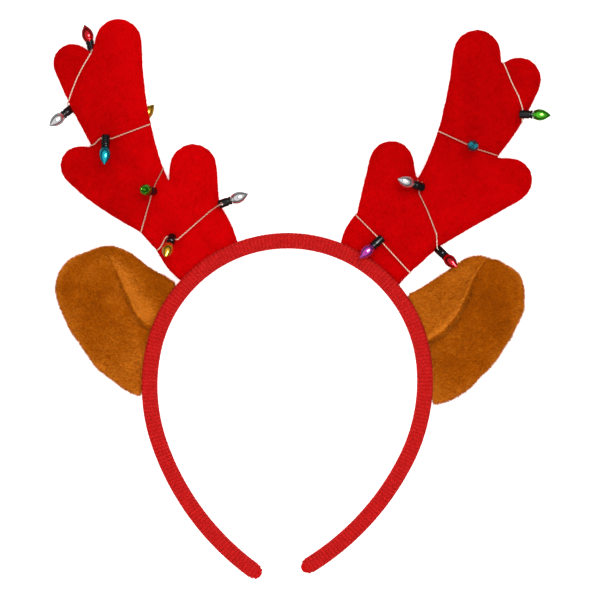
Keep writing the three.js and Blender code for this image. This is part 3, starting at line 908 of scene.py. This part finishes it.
def thread_line(route, lamps):
    reach = SOCKET_RADIUS + THREAD_RADIUS + GAP
    line = []
    for i, stop in enumerate(route):
        if stop[0] == "at":
            line.append(Vector((*stop[1], face_height(stop[2]))))
        elif stop[0] == "lamp":
            hole, _, across = lamp_frame(lamps[stop[1] - 1])
            line += [hole + across * along for along in (-reach, 0, reach)]
        else:
            after = stop_plan(route[i + 1 if stop[3] else i - 1], lamps)
            edge = Vector(stop[1])
            edge += (after - edge).normalized() * THREAD_TIGHT
            if stop[2]:
                line += quarter_round(edge, stop_plan(route[i - 1], lamps), stop[2])
            line.append(Vector((*edge, 0)))
            if stop[3]:
                line += reversed(quarter_round(edge, stop_plan(route[i + 1], lamps), stop[3]))
    return [LEANING @ place for place in line]


# %% The tree that twists two strands
def thread_tree():
    sizes = dict.fromkeys(("Strand", "Offset", "Twist", "Step"), FLOAT)
    tree, size = open_tree("twisted_thread", {**sizes, "Foil": MATERIAL})
    edges = size["Geometry"]
    line = edges.add("GeometryNodeMeshToCurve", {}, {"Mesh": edges})
    steps = {"Curve": line, "Length": size["Step"]}
    fine = line.add("GeometryNodeResampleCurve", {"mode": "LENGTH"}, steps)
    place = fine.add("GeometryNodeInputPosition", {}, {})
    blur = {"Value": place, "Iterations": 4}
    soft = fine.add("GeometryNodeBlurAttribute", {"data_type": "FLOAT_VECTOR"}, blur)
    eased = fine.add("GeometryNodeSetPosition", {}, {"Geometry": fine, "Position": soft})
    length = eased.add("GeometryNodeSplineParameter", {}, {}, output="Length")
    tilt = length * size["Twist"]
    spun = eased.add("GeometryNodeSetCurveTilt", {}, {"Curve": eased, "Tilt": tilt})
    section = {"Resolution": 6, "Radius": size["Strand"]}
    strand = spun.add("GeometryNodeCurvePrimitiveCircle", {}, section)
    pair = tree.nodes.new("GeometryNodeJoinGeometry")
    for ply, way in enumerate((1, -1)):
        offset = spun.add("ShaderNodeCombineXYZ", {}, {0: size["Offset"] * way})
        moved = spun.add("GeometryNodeTransform", {}, {"Geometry": strand, "Translation": offset})
        tree.links.new(marked(moved, "ply", float(ply), "POINT").socket, pair.inputs[0])
    sweep = {"Curve": spun, "Profile Curve": Wire(tree, pair.outputs[0]), "Fill Caps": True}
    close_tree(spun.add("GeometryNodeCurveToMesh", {}, sweep), size["Foil"])
    return tree


twisting = thread_tree()
TURN_LENGTH = 1.5
thread_sizes = {
    "Strand": 0.18 * MM,
    "Offset": 0.15 * MM,
    "Twist": 2 * math.pi / (TURN_LENGTH * MM),
    "Step": 0.28 * MM,
    "Foil": thread_gold,
}
SIDES = ("left", "right")
thread_lines = {}
for side in SIDES:
    line = thread_line(ROUTES[side], LAMPS[side])
    thread_lines[side] = line
    line_mesh = bpy.data.meshes.new("thread_line")
    steps = [(i, i + 1) for i in range(len(line) - 1)]
    line_mesh.from_pydata([place * MM for place in line], steps, [])
    guide = new_piece("thread_line", line_mesh)
    thread = grown(f"thread_{side}", guide, twisting, thread_sizes)
    bpy.data.objects.remove(guide)
    hand_over(thread, f"cord_{side}")
    length = sum((there - here).length for here, there in zip(line, line[1:]))
    print(f"thread_{side}: {length:.0f} mm long")

# %% [markdown]
# ## Fibres
#
# Felt sheds short hairs that lie almost flat, and plush has a dense pile that stands up and leans
# the way it was brushed. Blender's hair would not survive an export, so one tree scatters short
# hairs as real geometry. Each is a three-sided spike of four faces, because there are tens of
# thousands of them. A stored direction combs them.

# %% The tree that grows hairs
def hair_tree():
    sizes = dict.fromkeys(("Density", "Length", "Width", "Rise", "Scatter"), FLOAT)
    tree, size = open_tree("short_hairs", {**sizes, "Seed": WHOLE, "Finish": MATERIAL})
    skin = size["Geometry"]
    roots = {"Mesh": skin, "Density": size["Density"], "Seed": size["Seed"]}
    points = skin.add("GeometryNodeDistributePointsOnFaces", {}, roots)
    upright = points.other("Normal").scaled(size["Rise"])
    any_way = random_number(skin, (-1, -1, -1), (1, 1, 1), size["Seed"] + 1, "FLOAT_VECTOR")
    stray = any_way.scaled(size["Scatter"])
    combed = stored(skin, "comb", "FLOAT_VECTOR")
    aim = upright.vector("ADD", stray).vector("ADD", combed)
    aligned = skin.add("FunctionNodeAlignRotationToVector", {"axis": "Z"}, {"Vector": aim})
    spin = random_number(skin, 0.0, 2 * math.pi, size["Seed"] + 2)
    spike = {
        "Vertices": 3,
        "Radius Top": 0.0,
        "Radius Bottom": size["Width"] * 0.5,
        "Depth": size["Length"],
    }
    hair = skin.add("GeometryNodeMeshCone", {}, spike)
    scale = random_number(skin, 0.55, 1.2, size["Seed"] + 3)
    coat = repeated(points, hair, turned_on(aligned, spin), scale, size["Seed"] + 4)
    close_tree(coat, size["Finish"])
    return tree


def grow_coat(name, skins, sizes, seed):
    """Grows hairs on the skins of both sides."""
    for i, side in enumerate(SIDES):
        coat = grown(f"{name}_{side}", skins[side], hairs, {**sizes, "Seed": seed + i})
        kept_on_table(coat.data)
        hand_over(coat)


hairs = hair_tree()
PER_SQUARE_MM = 1 / MM**2
print("hair tree ready")

# %% [markdown]
# ## Letting a soft skin fill out
#
# Cloth under pressure finds the gentle swelling of a soft, stitched piece by itself. The skin is
# enlarged while it is simulated, because the solver is tuned to furniture and not to millimetres,
# and no point may move more than a cap, so the piece keeps its outline. Points that the hoop
# or the thread holds are pinned.

# %% Cloth with a cap
WORKING_SCALE = 50
CLOTH_FRAMES = 20
CLOTH_PRESSURE = 4.0
CLOTH_QUALITY = 4


def fill_out(piece, held, cap):
    """Swells a closed skin by pressure. Held points stay, and none moves past the cap in mm."""
    mesh = piece.data
    start = coordinates(mesh)
    set_coordinates(mesh, start * WORKING_SCALE)
    pins = piece.vertex_groups.new(name="held")
    pins.add([int(i) for i in np.flatnonzero(held)], 1.0, "REPLACE")
    cloth = piece.modifiers.new("filling", "CLOTH")
    cloth.settings.quality = CLOTH_QUALITY
    cloth.settings.use_pressure = True
    cloth.settings.uniform_pressure_force = CLOTH_PRESSURE
    cloth.settings.vertex_group_mass = pins.name
    cloth.settings.effector_weights.gravity = 0
    for number_of_frame in range(1, CLOTH_FRAMES + 1):
        scene.frame_set(number_of_frame)
    swollen = settled(piece)
    moved = coordinates(swollen) / WORKING_SCALE - start
    bpy.data.meshes.remove(swollen)
    piece.modifiers.remove(cloth)
    piece.vertex_groups.remove(pins)
    scene.frame_set(1)
    far = np.linalg.norm(moved, axis=1, keepdims=True)
    set_coordinates(mesh, start + moved * np.minimum(1, cap * MM / np.maximum(far, 1e-12)))
    print(f"{piece.name}: swelled up to {min(far.max() / MM, cap):.2f} mm")


def dress(mesh, material):
    paint_over(mesh, material)
    mesh.shade_smooth()


def work_in(piece):
    """Works the piece's modifiers into its mesh."""
    mesh = settled(piece)
    piece.modifiers.clear()
    piece.data = mesh


def clouds_at(places, size_mm, seed):
    """Soft noise with lumps of that size, at places in metres."""
    shift = Vector((seed, seed, seed))
    return np.array([noise.noise(Vector(place) / (size_mm * MM) + shift) for place in places])


def lump(mesh, lumps, seed):
    """Moves a skin in and out by rounds of soft noise, as wool and stuffing do."""
    for size_mm, height_mm, shift in lumps:
        places = coordinates(mesh)
        heights = clouds_at(places, size_mm, seed + shift)
        set_coordinates(mesh, places + vertex_normals(mesh) * heights[:, None] * height_mm * MM)


# %% [markdown]
# ## The felt antlers
#
# Each antler is thick felt, cut to shape, with its foot fixed to the sleeve. The copy of the solid
# is remeshed into even quads, because cloth needs them, smoothed, and filled out a little between
# the turns of thread. The foot is eased against the sleeve, so that no light shows between them.

# %% Distance to the hoop and to the thread
def nearest(places):
    """A search tree over places in mm."""
    tree = kdtree.KDTree(len(places))
    for i, place in enumerate(places):
        tree.insert(place, i)
    tree.balance()
    return tree


def dense(line, step):
    """Points along a line, no further apart than the step."""
    places = []
    for here, there in zip(line, line[1:]):
        count = max(1, math.ceil((there - here).length / step))
        places += [here.lerp(there, i / count) for i in range(count)]
    return places


HOOP_SAMPLE = 1.0
hoop_stations = np.arange(-REACH_LEFT, REACH_RIGHT, HOOP_SAMPLE)
hoop_search = nearest([(*hoop_frame(station)[0], 0) for station in hoop_stations])


def hoop_distance(places):
    """How far each place is from the hoop's line, seen from above, and the nearest point of it."""
    found = [hoop_search.find((place[0], place[1], 0)) for place in places]
    return np.array([row[2] for row in found]), np.array([row[0] for row in found])


# %% Copies of solids, and ramps
def solid_copy(node, name):
    """A merged copy of a solid's mesh, as a new piece."""
    mesh = frame["nodes"][node].data.copy()
    mesh.materials.clear()
    merged(mesh, 1e-6)
    return new_piece(name, mesh)


def ramp(values, start, end):
    """0 at the start, 1 at the end and straight between them."""
    return np.clip((values - start) / (end - start), 0, 1)


def soft_ramp(values, start, end):
    """A ramp that sets off and arrives gently."""
    share = ramp(values, start, end)
    return share**2 * (3 - 2 * share)


# %% The foot of the felt
FOOT_REACH = 4.9
FOOT_BLEND = 1.3
FOOT_EASE = 0.55


def ease_foot(mesh):
    """Draws the skin next to the sleeve up against it."""
    places = coordinates(mesh) / MM
    distance, centres = hoop_distance(places)
    share = soft_ramp(distance, FOOT_REACH, FOOT_REACH - FOOT_BLEND)
    pull = (centres - places) * np.array((1, 1, 0)) / distance[:, None]
    set_coordinates(mesh, (places + pull * share[:, None] * FOOT_EASE) * MM)


# %% The felt's painted light and shade
FELT_PAINTED_LIGHT = {
    "left": {"heading": 12, "start": -75, "end": -50, "dark": 0.28, "light": 0.74},
    "right": {"heading": -90, "start": -54, "end": -17, "dark": 0.18, "light": 0.5},
}


def felt_painted_light(side, places):
    """Painted light and shade on the felt, darker to lighter along a heading, start to end in mm."""
    lie = FELT_PAINTED_LIGHT[side]
    heading = math.radians(lie["heading"])
    along = places[:, 0] * math.cos(heading) + places[:, 1] * math.sin(heading)
    share = soft_ramp(along, lie["start"], lie["end"])
    return lie["dark"] + (lie["light"] - lie["dark"]) * share


# %% Felt skins
FELT_VOXEL = 0.65
FELT_SWELL = 0.25
FELT_REGAIN = 0.25
HELD_BY_THREAD = 1.6
THREAD_SAMPLE = 0.5
EDGE_NORMAL = 0.75
SMOOTH_FACTOR = 0.5
SMOOTH_ROUNDS = 3
FELT_LUMPS = ((4.0, 0.12, 0), (14.0, 0.14, 7))

felt_pieces = {}
for seed, side in enumerate(SIDES):
    felt = solid_copy(f"antler_{side}", f"felt_{side}")
    voxels = felt.modifiers.new("even_quads", "REMESH")
    voxels.mode = "VOXEL"
    voxels.voxel_size = FELT_VOXEL * MM
    smooth = felt.modifiers.new("smooth", "SMOOTH")
    smooth.factor = SMOOTH_FACTOR
    smooth.iterations = SMOOTH_ROUNDS
    work_in(felt)
    felt_mesh = felt.data
    sideways = vertex_normals(felt_mesh) * np.array((1, 1, 0))
    set_coordinates(felt_mesh, coordinates(felt_mesh) + sideways * FELT_REGAIN * MM)
    places = coordinates(felt_mesh) / MM
    wound = nearest(dense(thread_lines[side], THREAD_SAMPLE))
    by_thread = np.array([wound.find(place)[2] for place in places]) < HELD_BY_THREAD
    at_foot = hoop_distance(places)[0] < FOOT_REACH
    at_edge = np.abs(vertex_normals(felt_mesh)[:, 2]) < EDGE_NORMAL
    fill_out(felt, by_thread | at_foot | at_edge, FELT_SWELL)
    ease_foot(felt_mesh)
    dress(felt_mesh, felt_red)
    lump(felt_mesh, FELT_LUMPS, seed)
    # Painted light and shade on the felt, stored for its finish.
    store(felt_mesh, "nap_and_painted_light", "FLOAT", felt_painted_light(side, coordinates(felt_mesh) / MM))
    hand_over(felt, f"antler_{side}")
    felt_pieces[side] = felt
    print(f"felt_{side}: {len(felt_mesh.polygons)} faces")

# %% Felt hairs
FELT_SEED = 20
felt_hair = {
    "Density": 2.6 * PER_SQUARE_MM,
    "Length": 1.3 * MM,
    "Width": 0.11 * MM,
    "Rise": 0.45,
    "Scatter": 0.9,
    "Finish": felt_red,
}
grow_coat("felt_fuzz", felt_pieces, felt_hair, FELT_SEED)

# %% [markdown]
# ## The plush ears
#
# Each ear is a plush leaf whose upper side is folded forward, so its free edge lies across the
# front as a soft lip with a shadow under it. A remesh would close that lip, so the ear is lofted:
# sections from the hoop to the far end, each with a rounded rim, a panel, the lip and the flap.
# The sections are the solid's, with more points where the lip turns.

# %% Ear sections
PLUSH_HALF = 1.8
EAR_OUTSET = 3.15

EARS = {
    "left": {
        "stations": {"rim": -105, "fold": -75.8, "top": -55.1},
        "sections": (
            {"rim": (-77, -61.9), "fold": (-66.2, -34.6), "top": (-58.7, -14.1)},
            {"rim": (-89, -50.7), "fold": (-69.9, -29.7), "top": (-64.1, -10.8)},
            {"rim": (-98.9, -35.3), "fold": (-72.7, -23.2), "top": (-69.2, -7.1)},
            {"rim": (-103.5, -19.8), "fold": (-75.7, -16.8), "top": (-73.5, -4.5)},
            {"rim": (-99.3, -9.5), "fold": (-78.7, -10.8), "top": (-77.4, -2.7)},
            {"rim": (-86, -3.2), "fold": (-83.2, -2.5), "top": (-81.7, -2.2)},
        ),
    },
    "right": {
        "stations": {"rim": 100.6, "fold": 73.5, "top": 52.8},
        "sections": (
            {"rim": (69.4, -66.6), "fold": (62.4, -38.9), "top": (54.6, -19.4)},
            {"rim": (81.3, -55.9), "fold": (66.7, -34.4), "top": (60.2, -15.5)},
            {"rim": (91.2, -43), "fold": (70.1, -29), "top": (65.4, -12.3)},
            {"rim": (97.6, -28.4), "fold": (72.9, -23.2), "top": (69.7, -9.5)},
            {"rim": (95.9, -15.5), "fold": (75.7, -16.3), "top": (73.3, -7.3)},
            {"rim": (87.3, -8.6), "fold": (81.5, -7.4), "top": (78.7, -6.5)},
        ),
    },
}
EAR_HEIGHTS = {
    "rim": (3, 3.2, 3.4, 3.6, 3.8, 4, 4.2),
    "valley": (2.6, 2.5, 2.5, 2.7, 3.1, 3.6, 4.1),
    "crest": (6, 6.6, 6.8, 6.6, 6, 5, 4.3),
    "top": (5.2, 5.4, 5.4, 5.2, 4.9, 4.6, 4.3),
}
EAR_PUFF = (1, 1, 1, 1, 1, 0.8, 0.5)


def smooth_run(points, shares):
    """Places on a smooth run through the points, at shares from 0 to 1 of the way."""
    points = np.array(points, dtype=float)
    ends = np.vstack((2 * points[0] - points[1], points, 2 * points[-1] - points[-2]))
    run = []
    for share in shares:
        place = share * (len(points) - 1)
        low = min(int(place), len(points) - 2)
        row = list(ends[low : low + 4])
        strides = [math.sqrt(np.linalg.norm(after - before)) for before, after in zip(row, row[1:])]
        knots = np.concatenate(([0], np.cumsum(strides)))
        at = knots[1] + (knots[2] - knots[1]) * (place - low)
        for span in (1, 2):
            parts = [(at - knots[i]) / (knots[i + span] - knots[i]) for i in range(len(row) - 1)]
            row = [here + (there - here) * part for here, there, part in zip(row, row[1:], parts)]
        run.append(row[0] + (row[1] - row[0]) * (at - knots[1]) / (knots[2] - knots[1]))
    return np.array(run)


# %% One section of an ear
RIM_ROOM = 10
TOP_ROOM = 6
BOW_FADE = 3
LIP_DEGREES = range(-70, 91, 16)
LIP_OVERHANG = 1.2
HEM_DEPTH = 0.3
HEM_WAIST = 0.8
EDGE_DISTANCES = (0, 0.06, 0.25, 0.6, 1.1, 1.8)
PANEL_SHARES = (0.12, 0.2, 0.29, 0.38, 0.47, 0.56, 0.65, 0.74, 0.82, 0.89, 0.95, 0.99)
FLAP_SHARES = (0.04, 0.09, 0.15, 0.21, 0.28, 0.36, 0.45, 0.54, 0.63, 0.72, 0.8)
HEM = {"left": (9.3, 2.3), "right": (3.0, 2.0)}


def ear_bow(stations, share):
    """How far the hoop's curve leaves the straight line between an ear's corners on it."""
    start, end = ("rim", "fold") if share < 1 else ("fold", "top")
    part = share if share < 1 else share - 1
    first, last = stations[start], stations[end]
    straight = hoop_point(first, EAR_OUTSET) * (1 - part) + hoop_point(last, EAR_OUTSET) * part
    return hoop_point(first + (last - first) * part, EAR_OUTSET) - straight


def ear_ring(side, out, corners, half):
    """One section of an ear: places, how far across each is, and which are on the front."""
    rim, valley, crest, top = corners
    panel = rim[:2] - valley[:2]
    flap = top[:2] - crest[:2]
    panel_wide = np.linalg.norm(panel)
    flap_wide = np.linalg.norm(flap)
    towards_rim = panel / panel_wide
    stations = EARS[side]["stations"]
    ring = []

    def put(start, end, share, fill, front):
        part = share if start is rim else share - 1
        place = start * (1 - part) + end * part
        bow = ear_bow(stations, share) * (1 - out) ** BOW_FADE
        ring.append((*(place[:2] + bow), place[2] + fill * half, share, front))

    widest = EDGE_DISTANCES[-1]
    rim_shares = [distance / max(panel_wide, RIM_ROOM * widest) for distance in EDGE_DISTANCES]
    top_shares = [1 - distance / max(flap_wide, TOP_ROOM * widest) for distance in EDGE_DISTANCES]
    for share in (*rim_shares, *PANEL_SHARES):
        put(rim, valley, share, rounding(share * panel_wide, half), 1)
    radius = (crest[2] - valley[2]) / 2
    fold_bow = ear_bow(stations, 1) * (1 - out) ** BOW_FADE
    for degrees in LIP_DEGREES:
        angle = math.radians(degrees)
        ahead = LIP_OVERHANG * math.cos(angle) * min(radius, 1.0)
        plan = crest[:2] + fold_bow + towards_rim * ahead
        ring.append((*plan, valley[2] + half + radius * (1 + math.sin(angle)), 1.0, 1))
    hem, hem_end = HEM[side]
    hem_now = hem + (hem_end - hem) * out
    for share in (*FLAP_SHARES, *reversed(top_shares)):
        from_hem = (share * flap_wide - hem_now) / HEM_WAIST
        crease = HEM_DEPTH * math.exp(-(from_hem**2)) * (1 - out)
        fill = rounding((1 - share) * flap_wide, half) - crease / half
        put(crest, top, 1 + share, fill, 1)
    for share in reversed(FLAP_SHARES):
        put(valley, top, 1 + share, -rounding((1 - share) * flap_wide, half), 0)
    for share in (*reversed(PANEL_SHARES), *reversed(rim_shares[1:])):
        put(rim, valley, share, -rounding(share * panel_wide, half), 0)
    return ring


# %% Ear skins
EAR_ROWS = 46
EAR_ROW_POWER = 0.9
FOLD_FADES = {"left": (0.6, 0.9), "right": (0.5, 1.05)}
FOLD_LIFT = {"left": 0.45, "right": 0.85}


def ear_skin(side):
    shape = EARS[side]
    shares = np.linspace(0, 1, EAR_ROWS) ** EAR_ROW_POWER
    columns = []
    for place, height in (("rim", "rim"), ("fold", "valley"), ("fold", "crest"), ("top", "top")):
        base = hoop_point(shape["stations"][place], EAR_OUTSET)
        plan = np.vstack((base, [row[place] for row in shape["sections"]]))
        columns.append(smooth_run(np.column_stack((plan, EAR_HEIGHTS[height])), shares))
    _, valley, crest, _ = columns
    lift = np.interp(shares, FOLD_FADES[side], (FOLD_LIFT[side], 0))
    crest[:, 2] = valley[:, 2] + (crest[:, 2] - valley[:, 2]) * lift
    puffs = np.interp(shares, np.linspace(0, 1, len(EAR_PUFF)), EAR_PUFF)
    rows = zip(shares, zip(*columns), PLUSH_HALF * puffs)
    rings = np.array([ear_ring(side, out, corners, half) for out, corners, half in rows])
    outs = np.repeat(shares, rings.shape[1])
    marks = {"out": outs, "across": rings[:, :, 3], "front": rings[:, :, 4]}
    return lofted(f"plush_{side}", np.ascontiguousarray(rings[:, :, :3]), marks)


def marks_of(mesh, name):
    values = np.empty(len(mesh.vertices))
    mesh.attributes[name].data.foreach_get("value", values)
    return values


# %% Nap and painted light: where the pile looks light or dark
NAP_BASE = 0.51
# Painted light on rims, where the skin turns to the side.
RIM_LIGHT = 0.22
RIM_TURN = (0.4, 0.9)
FOLD_LINE = 0.001
# Painted light along the panel's rim, and lighter along its foot at the hoop.
RIM_AND_FOOT_LIGHT = 0.16
RIM_AND_FOOT_WIDTHS = {"across": 0.1, "out": 0.06}
LIP_SHADE = {"left": (0.9, 0.12), "right": (0.86, 0.12)}
LIP_SHADE_POWER = 1.6
LIP_SHADE_FADE = (1.4, 0.4)
PANEL_LIGHT = {"left": 0.0, "right": -0.03}
NAP_CLOUDS = ((11, 0.12, 0), (4, 0.1, 5))
# Painted light on the left flap's facet.
FACET = {
    "light": 0.38,
    "wide": 0.6,
    "taper": 0.4,
    "taper_run": (0.45, 1.45),
    "edge": (1.214, 0.5),
    "start": (-1 / 6, 1 / 6),
    "end": (0.96, 0.7),
}
# Painted highlight along the right flap's hem; the right flap is lighter too.
HEM_HIGHLIGHT = {"light": 0.24, "edge": (0.144, 0.084), "flap": 0.17, "fade": 0.08}


def bell(values, middle, width):
    return np.exp(-(((values - middle) / width) ** 2))


def spot(face, lighter, across, out):
    """A soft patch on a face of the ear, with its middle and width across and out from the hoop."""
    return {"face": face, "lighter": lighter, "across": across, "out": out}


EAR_PATCHES = {
    "left": (
        spot("front", 0.13, (1.1, 0.35), (0.86, 0.1)),
        spot("flap", 0.2, (1.45, 0.35), (0.74, 0.15)),
        spot("panel", 0.05, (0.8, 0.2), (0.72, 0.16)),
        spot("panel", 0.14, (0.5, 0.3), (0.1, 0.2)),
        spot("panel", -0.08, (0.4, 0.25), (0.36, 0.15)),
        spot("flap", -0.18, (1.6, 0.28), (0.08, 0.2)),
    ),
    "right": (
        spot("panel", 0.14, (0.2, 0.4), (0, 0.1)),
        spot("panel", -0.12, (0.6, 0.4), (0.65, 0.25)),
    ),
}


def flap_light(side, across, out):
    """Left flap: a painted lit facet that dies out. Right flap: lighter, with a painted hem
    highlight.
    """
    inward = across - 1
    if side == "left":
        wide = FACET["wide"] - FACET["taper"] * ramp(out, *FACET["taper_run"])
        facet = FACET["light"] * ramp(inward / wide, *FACET["edge"])
        return facet * ramp(out, *FACET["start"]) * ramp(out, *FACET["end"])
    hem = HEM_HIGHLIGHT["light"] * ramp(inward, *HEM_HIGHLIGHT["edge"])
    return hem + HEM_HIGHLIGHT["flap"] - HEM_HIGHLIGHT["fade"] * out


def nap_and_painted_light(side, out, across, front, places, rims):
    """Nap from 0 to 1, with painted light on rims and flap and painted shadow under the lip."""
    flap = (across > 1 + FOLD_LINE) & (front > 0.5)
    panel = (across < 1 - FOLD_LINE) & (front > 0.5)
    faces = {"front": front, "flap": flap, "panel": panel}
    # Painted light on the rims.
    light = NAP_BASE + RIM_LIGHT * ramp(rims, *RIM_TURN)
    # Painted shadow under the lip.
    shade_from, shade = LIP_SHADE[side]
    under_lip = panel * ramp(across, shade_from, 1) ** LIP_SHADE_POWER
    light -= shade * under_lip * ramp(out, *LIP_SHADE_FADE)
    # Painted light along the panel's rim, and lighter along its foot at the hoop.
    rim_and_foot = bell(across, 0, RIM_AND_FOOT_WIDTHS["across"]) + bell(out, 0, RIM_AND_FOOT_WIDTHS["out"])
    light += panel * (RIM_AND_FOOT_LIGHT * rim_and_foot + PANEL_LIGHT[side])
    # Painted light on the flap: a lit facet or a hem highlight.
    light += flap * flap_light(side, across, out)
    for patch in EAR_PATCHES[side]:
        shape = bell(across, *patch["across"]) * bell(out, *patch["out"])
        light += patch["lighter"] * faces[patch["face"]] * shape
    for size_mm, depth, shift in NAP_CLOUDS:
        light += depth * clouds_at(places, size_mm, shift)
    return np.clip(light, 0, 1)


# %% The way the pile was brushed
BRUSH_CENTRE = (0, -55)
BRUSH_STRAIGHT = 0.55
BRUSH_SWIRL = 0.45
SWIRL_SIZE = 9
SWIRL_SEED = 1

noise.seed_set(SWIRL_SEED)


def combing(places):
    """The way the pile was brushed: away from the head, with swirls."""
    aim = places / MM - np.array((*BRUSH_CENTRE, 0))
    aim[:, 2] = 0
    aim /= np.linalg.norm(aim, axis=1, keepdims=True)
    swirl = np.array([noise.noise_vector(Vector(place) / (SWIRL_SIZE * MM)) for place in places])
    return aim * BRUSH_STRAIGHT + swirl * BRUSH_SWIRL


# %% Ear pieces
PLUSH_SWELL = 0.5
PLUSH_HELD = 0.12
PLUSH_LUMPS = ((9.0, 0.5, 2), (3.0, 0.15, 4))

plush_pieces = {}
for seed, side in enumerate(SIDES):
    plush = new_piece(f"plush_{side}", ear_skin(side))
    across = marks_of(plush.data, "across")
    near_hoop = hoop_distance(coordinates(plush.data) / MM)[0] < FOOT_REACH
    at_seam = (across < PLUSH_HELD) | (across > 2 - PLUSH_HELD)
    at_fold = np.abs(across - 1) < PLUSH_HELD
    fill_out(plush, near_hoop | at_fold | at_seam, PLUSH_SWELL)
    round_off = plush.modifiers.new("round_off", "SUBSURF")
    round_off.levels = 1
    round_off.render_levels = 1
    work_in(plush)
    skin = plush.data
    dress(skin, plush_brown)
    lump(skin, PLUSH_LUMPS, seed)
    places = coordinates(skin)
    # How far the skin turns to the side, for the painted light on its rims.
    rims = 1 - np.abs(vertex_normals(skin)[:, 2])
    marks = [marks_of(skin, mark) for mark in ("out", "across", "front")]
    # The pile's nap with painted light and shade, stored for the finish.
    store(skin, "nap_and_painted_light", "FLOAT", nap_and_painted_light(side, *marks, places, rims))
    store(skin, "comb", "FLOAT_VECTOR", combing(places))
    hand_over(plush, f"ear_{side}")
    plush_pieces[side] = plush
    print(f"plush_{side}: {len(skin.polygons)} faces")

# %% Plush pile
PILE_SEED = 40
pile_sizes = {
    "Density": 9.2 * PER_SQUARE_MM,
    "Length": 1.1 * MM,
    "Width": 0.19 * MM,
    "Rise": 0.9,
    "Scatter": 0.4,
    "Finish": plush_brown,
}
grow_coat("plush_pile", plush_pieces, pile_sizes, PILE_SEED)

# %% [markdown]
# ## Sockets and bulbs
#
# Sockets and bulbs are turned shapes, so each is one profile swept round an axis, made once and
# then copied to every lamp. The socket's cross hole is cut with a boolean, because the thread
# really goes through it. Bulbs get enough sides to mirror the room without facets.

# %% Turned shapes
LAMP_SIDES = 36
CENTRE = 0.01
SOCKET_TOP = SOCKET_LENGTH - SOCKET_HOLE
SOCKET_PROFILE = (
    (CENTRE, -SOCKET_HOLE),
    (1.45, -SOCKET_HOLE),
    (1.7, -1.24),
    (1.81, -1.1),
    (SOCKET_RADIUS, -0.9),
    (SOCKET_RADIUS, 2.75),
    (1.62, 3),
    (1.56, 3.25),
    (1.62, 3.5),
    (SOCKET_RADIUS, 3.72),
    (1.87, 3.9),
    (1.87, 4.2),
    (1.8, 4.36),
    (1.66, SOCKET_TOP),
    (1.1, SOCKET_TOP),
    (1.1, 3.4),
    (CENTRE, 3.4),
)
BULB_SEAT = SOCKET_TOP + GAP
BULB_STEM = 0.8
BULB_STEM_DEPTH = 1
BULB_ROWS = 34
BULB_FLAME = (
    (0.66, 0),
    (0.76, 0.03),
    (0.8, 0.08),
    (0.96, 0.22),
    (1, 0.36),
    (0.92, 0.54),
    (0.68, 0.72),
    (0.34, 0.88),
    (0.1, 0.985),
)
DRILL_RADIUS = 0.7
DRILL_SIDES = 16
DRILL_REACH = 4


def circle(sides):
    """The cosines and sines of even steps round a circle."""
    angles = np.arange(sides) * 2 * math.pi / sides
    return np.cos(angles), np.sin(angles)


def turned(name, profile):
    """A closed shape with that profile of radius and height, swept round +Y."""
    x, z = circle(LAMP_SIDES)
    rings = [np.column_stack((x * radius, x * 0 + height, z * radius)) for radius, height in profile]
    return lofted(name, np.array(rings))


def bulb_mesh():
    flame = smooth_run(BULB_FLAME, np.linspace(0, 1, BULB_ROWS))
    glass = [(wide * BULB_RADIUS, BULB_SEAT + along * BULB_LENGTH) for wide, along in flame]
    stem_end = BULB_SEAT - BULB_STEM_DEPTH
    stem = [(CENTRE, stem_end), (BULB_STEM, stem_end), (BULB_STEM, BULB_SEAT)]
    return turned("bulb", [*stem, *glass, (CENTRE, BULB_SEAT + BULB_LENGTH)])


def socket_mesh():
    body = new_piece("socket", turned("socket", SOCKET_PROFILE))
    y, z = circle(DRILL_SIDES)
    ring = np.column_stack((y * 0, y, z)) * DRILL_RADIUS
    reach = (DRILL_REACH, 0, 0)
    drill = new_piece("drill", lofted("drill", np.stack((ring - reach, ring + reach))))
    cut = body.modifiers.new("thread_hole", "BOOLEAN")
    cut.operation = "DIFFERENCE"
    cut.object = drill
    mesh = settled(body)
    bpy.data.objects.remove(body)
    bpy.data.objects.remove(drill)
    return mesh


# %% Every lamp in its place
SHARP_ANGLE = math.radians(35)


def set_lamp(kind, tag, shape, place, material):
    """Puts a socket or a bulb where its solid is."""
    mesh = shape.copy()
    mesh.transform(Matrix.Scale(MM, 4) @ place @ Matrix.Scale(1 / MM, 4))
    mesh.set_sharp_from_angle(angle=SHARP_ANGLE)
    piece = new_piece(f"lamp_{kind}_{tag}", mesh, material)
    hand_over(piece, f"{kind}_{tag}")


socket_shape = socket_mesh()
bulb_shape = bulb_mesh()
for side, lamps in LAMPS.items():
    for i, row in enumerate(lamps, 1):
        hole, point, run = lamp_frame(row)
        basis = Matrix((run, point, run.cross(point))).transposed().to_4x4()
        place = LEANING @ Matrix.Translation(hole) @ basis
        tag = f"{side}_{i}"
        colour = row["colour"]
        set_lamp("socket", tag, socket_shape, place, socket_black)
        set_lamp("bulb", tag, bulb_shape, place, bulb_finishes[colour])
print(f"bulb: {len(bulb_shape.polygons)} faces, socket: {len(socket_shape.polygons)} faces")
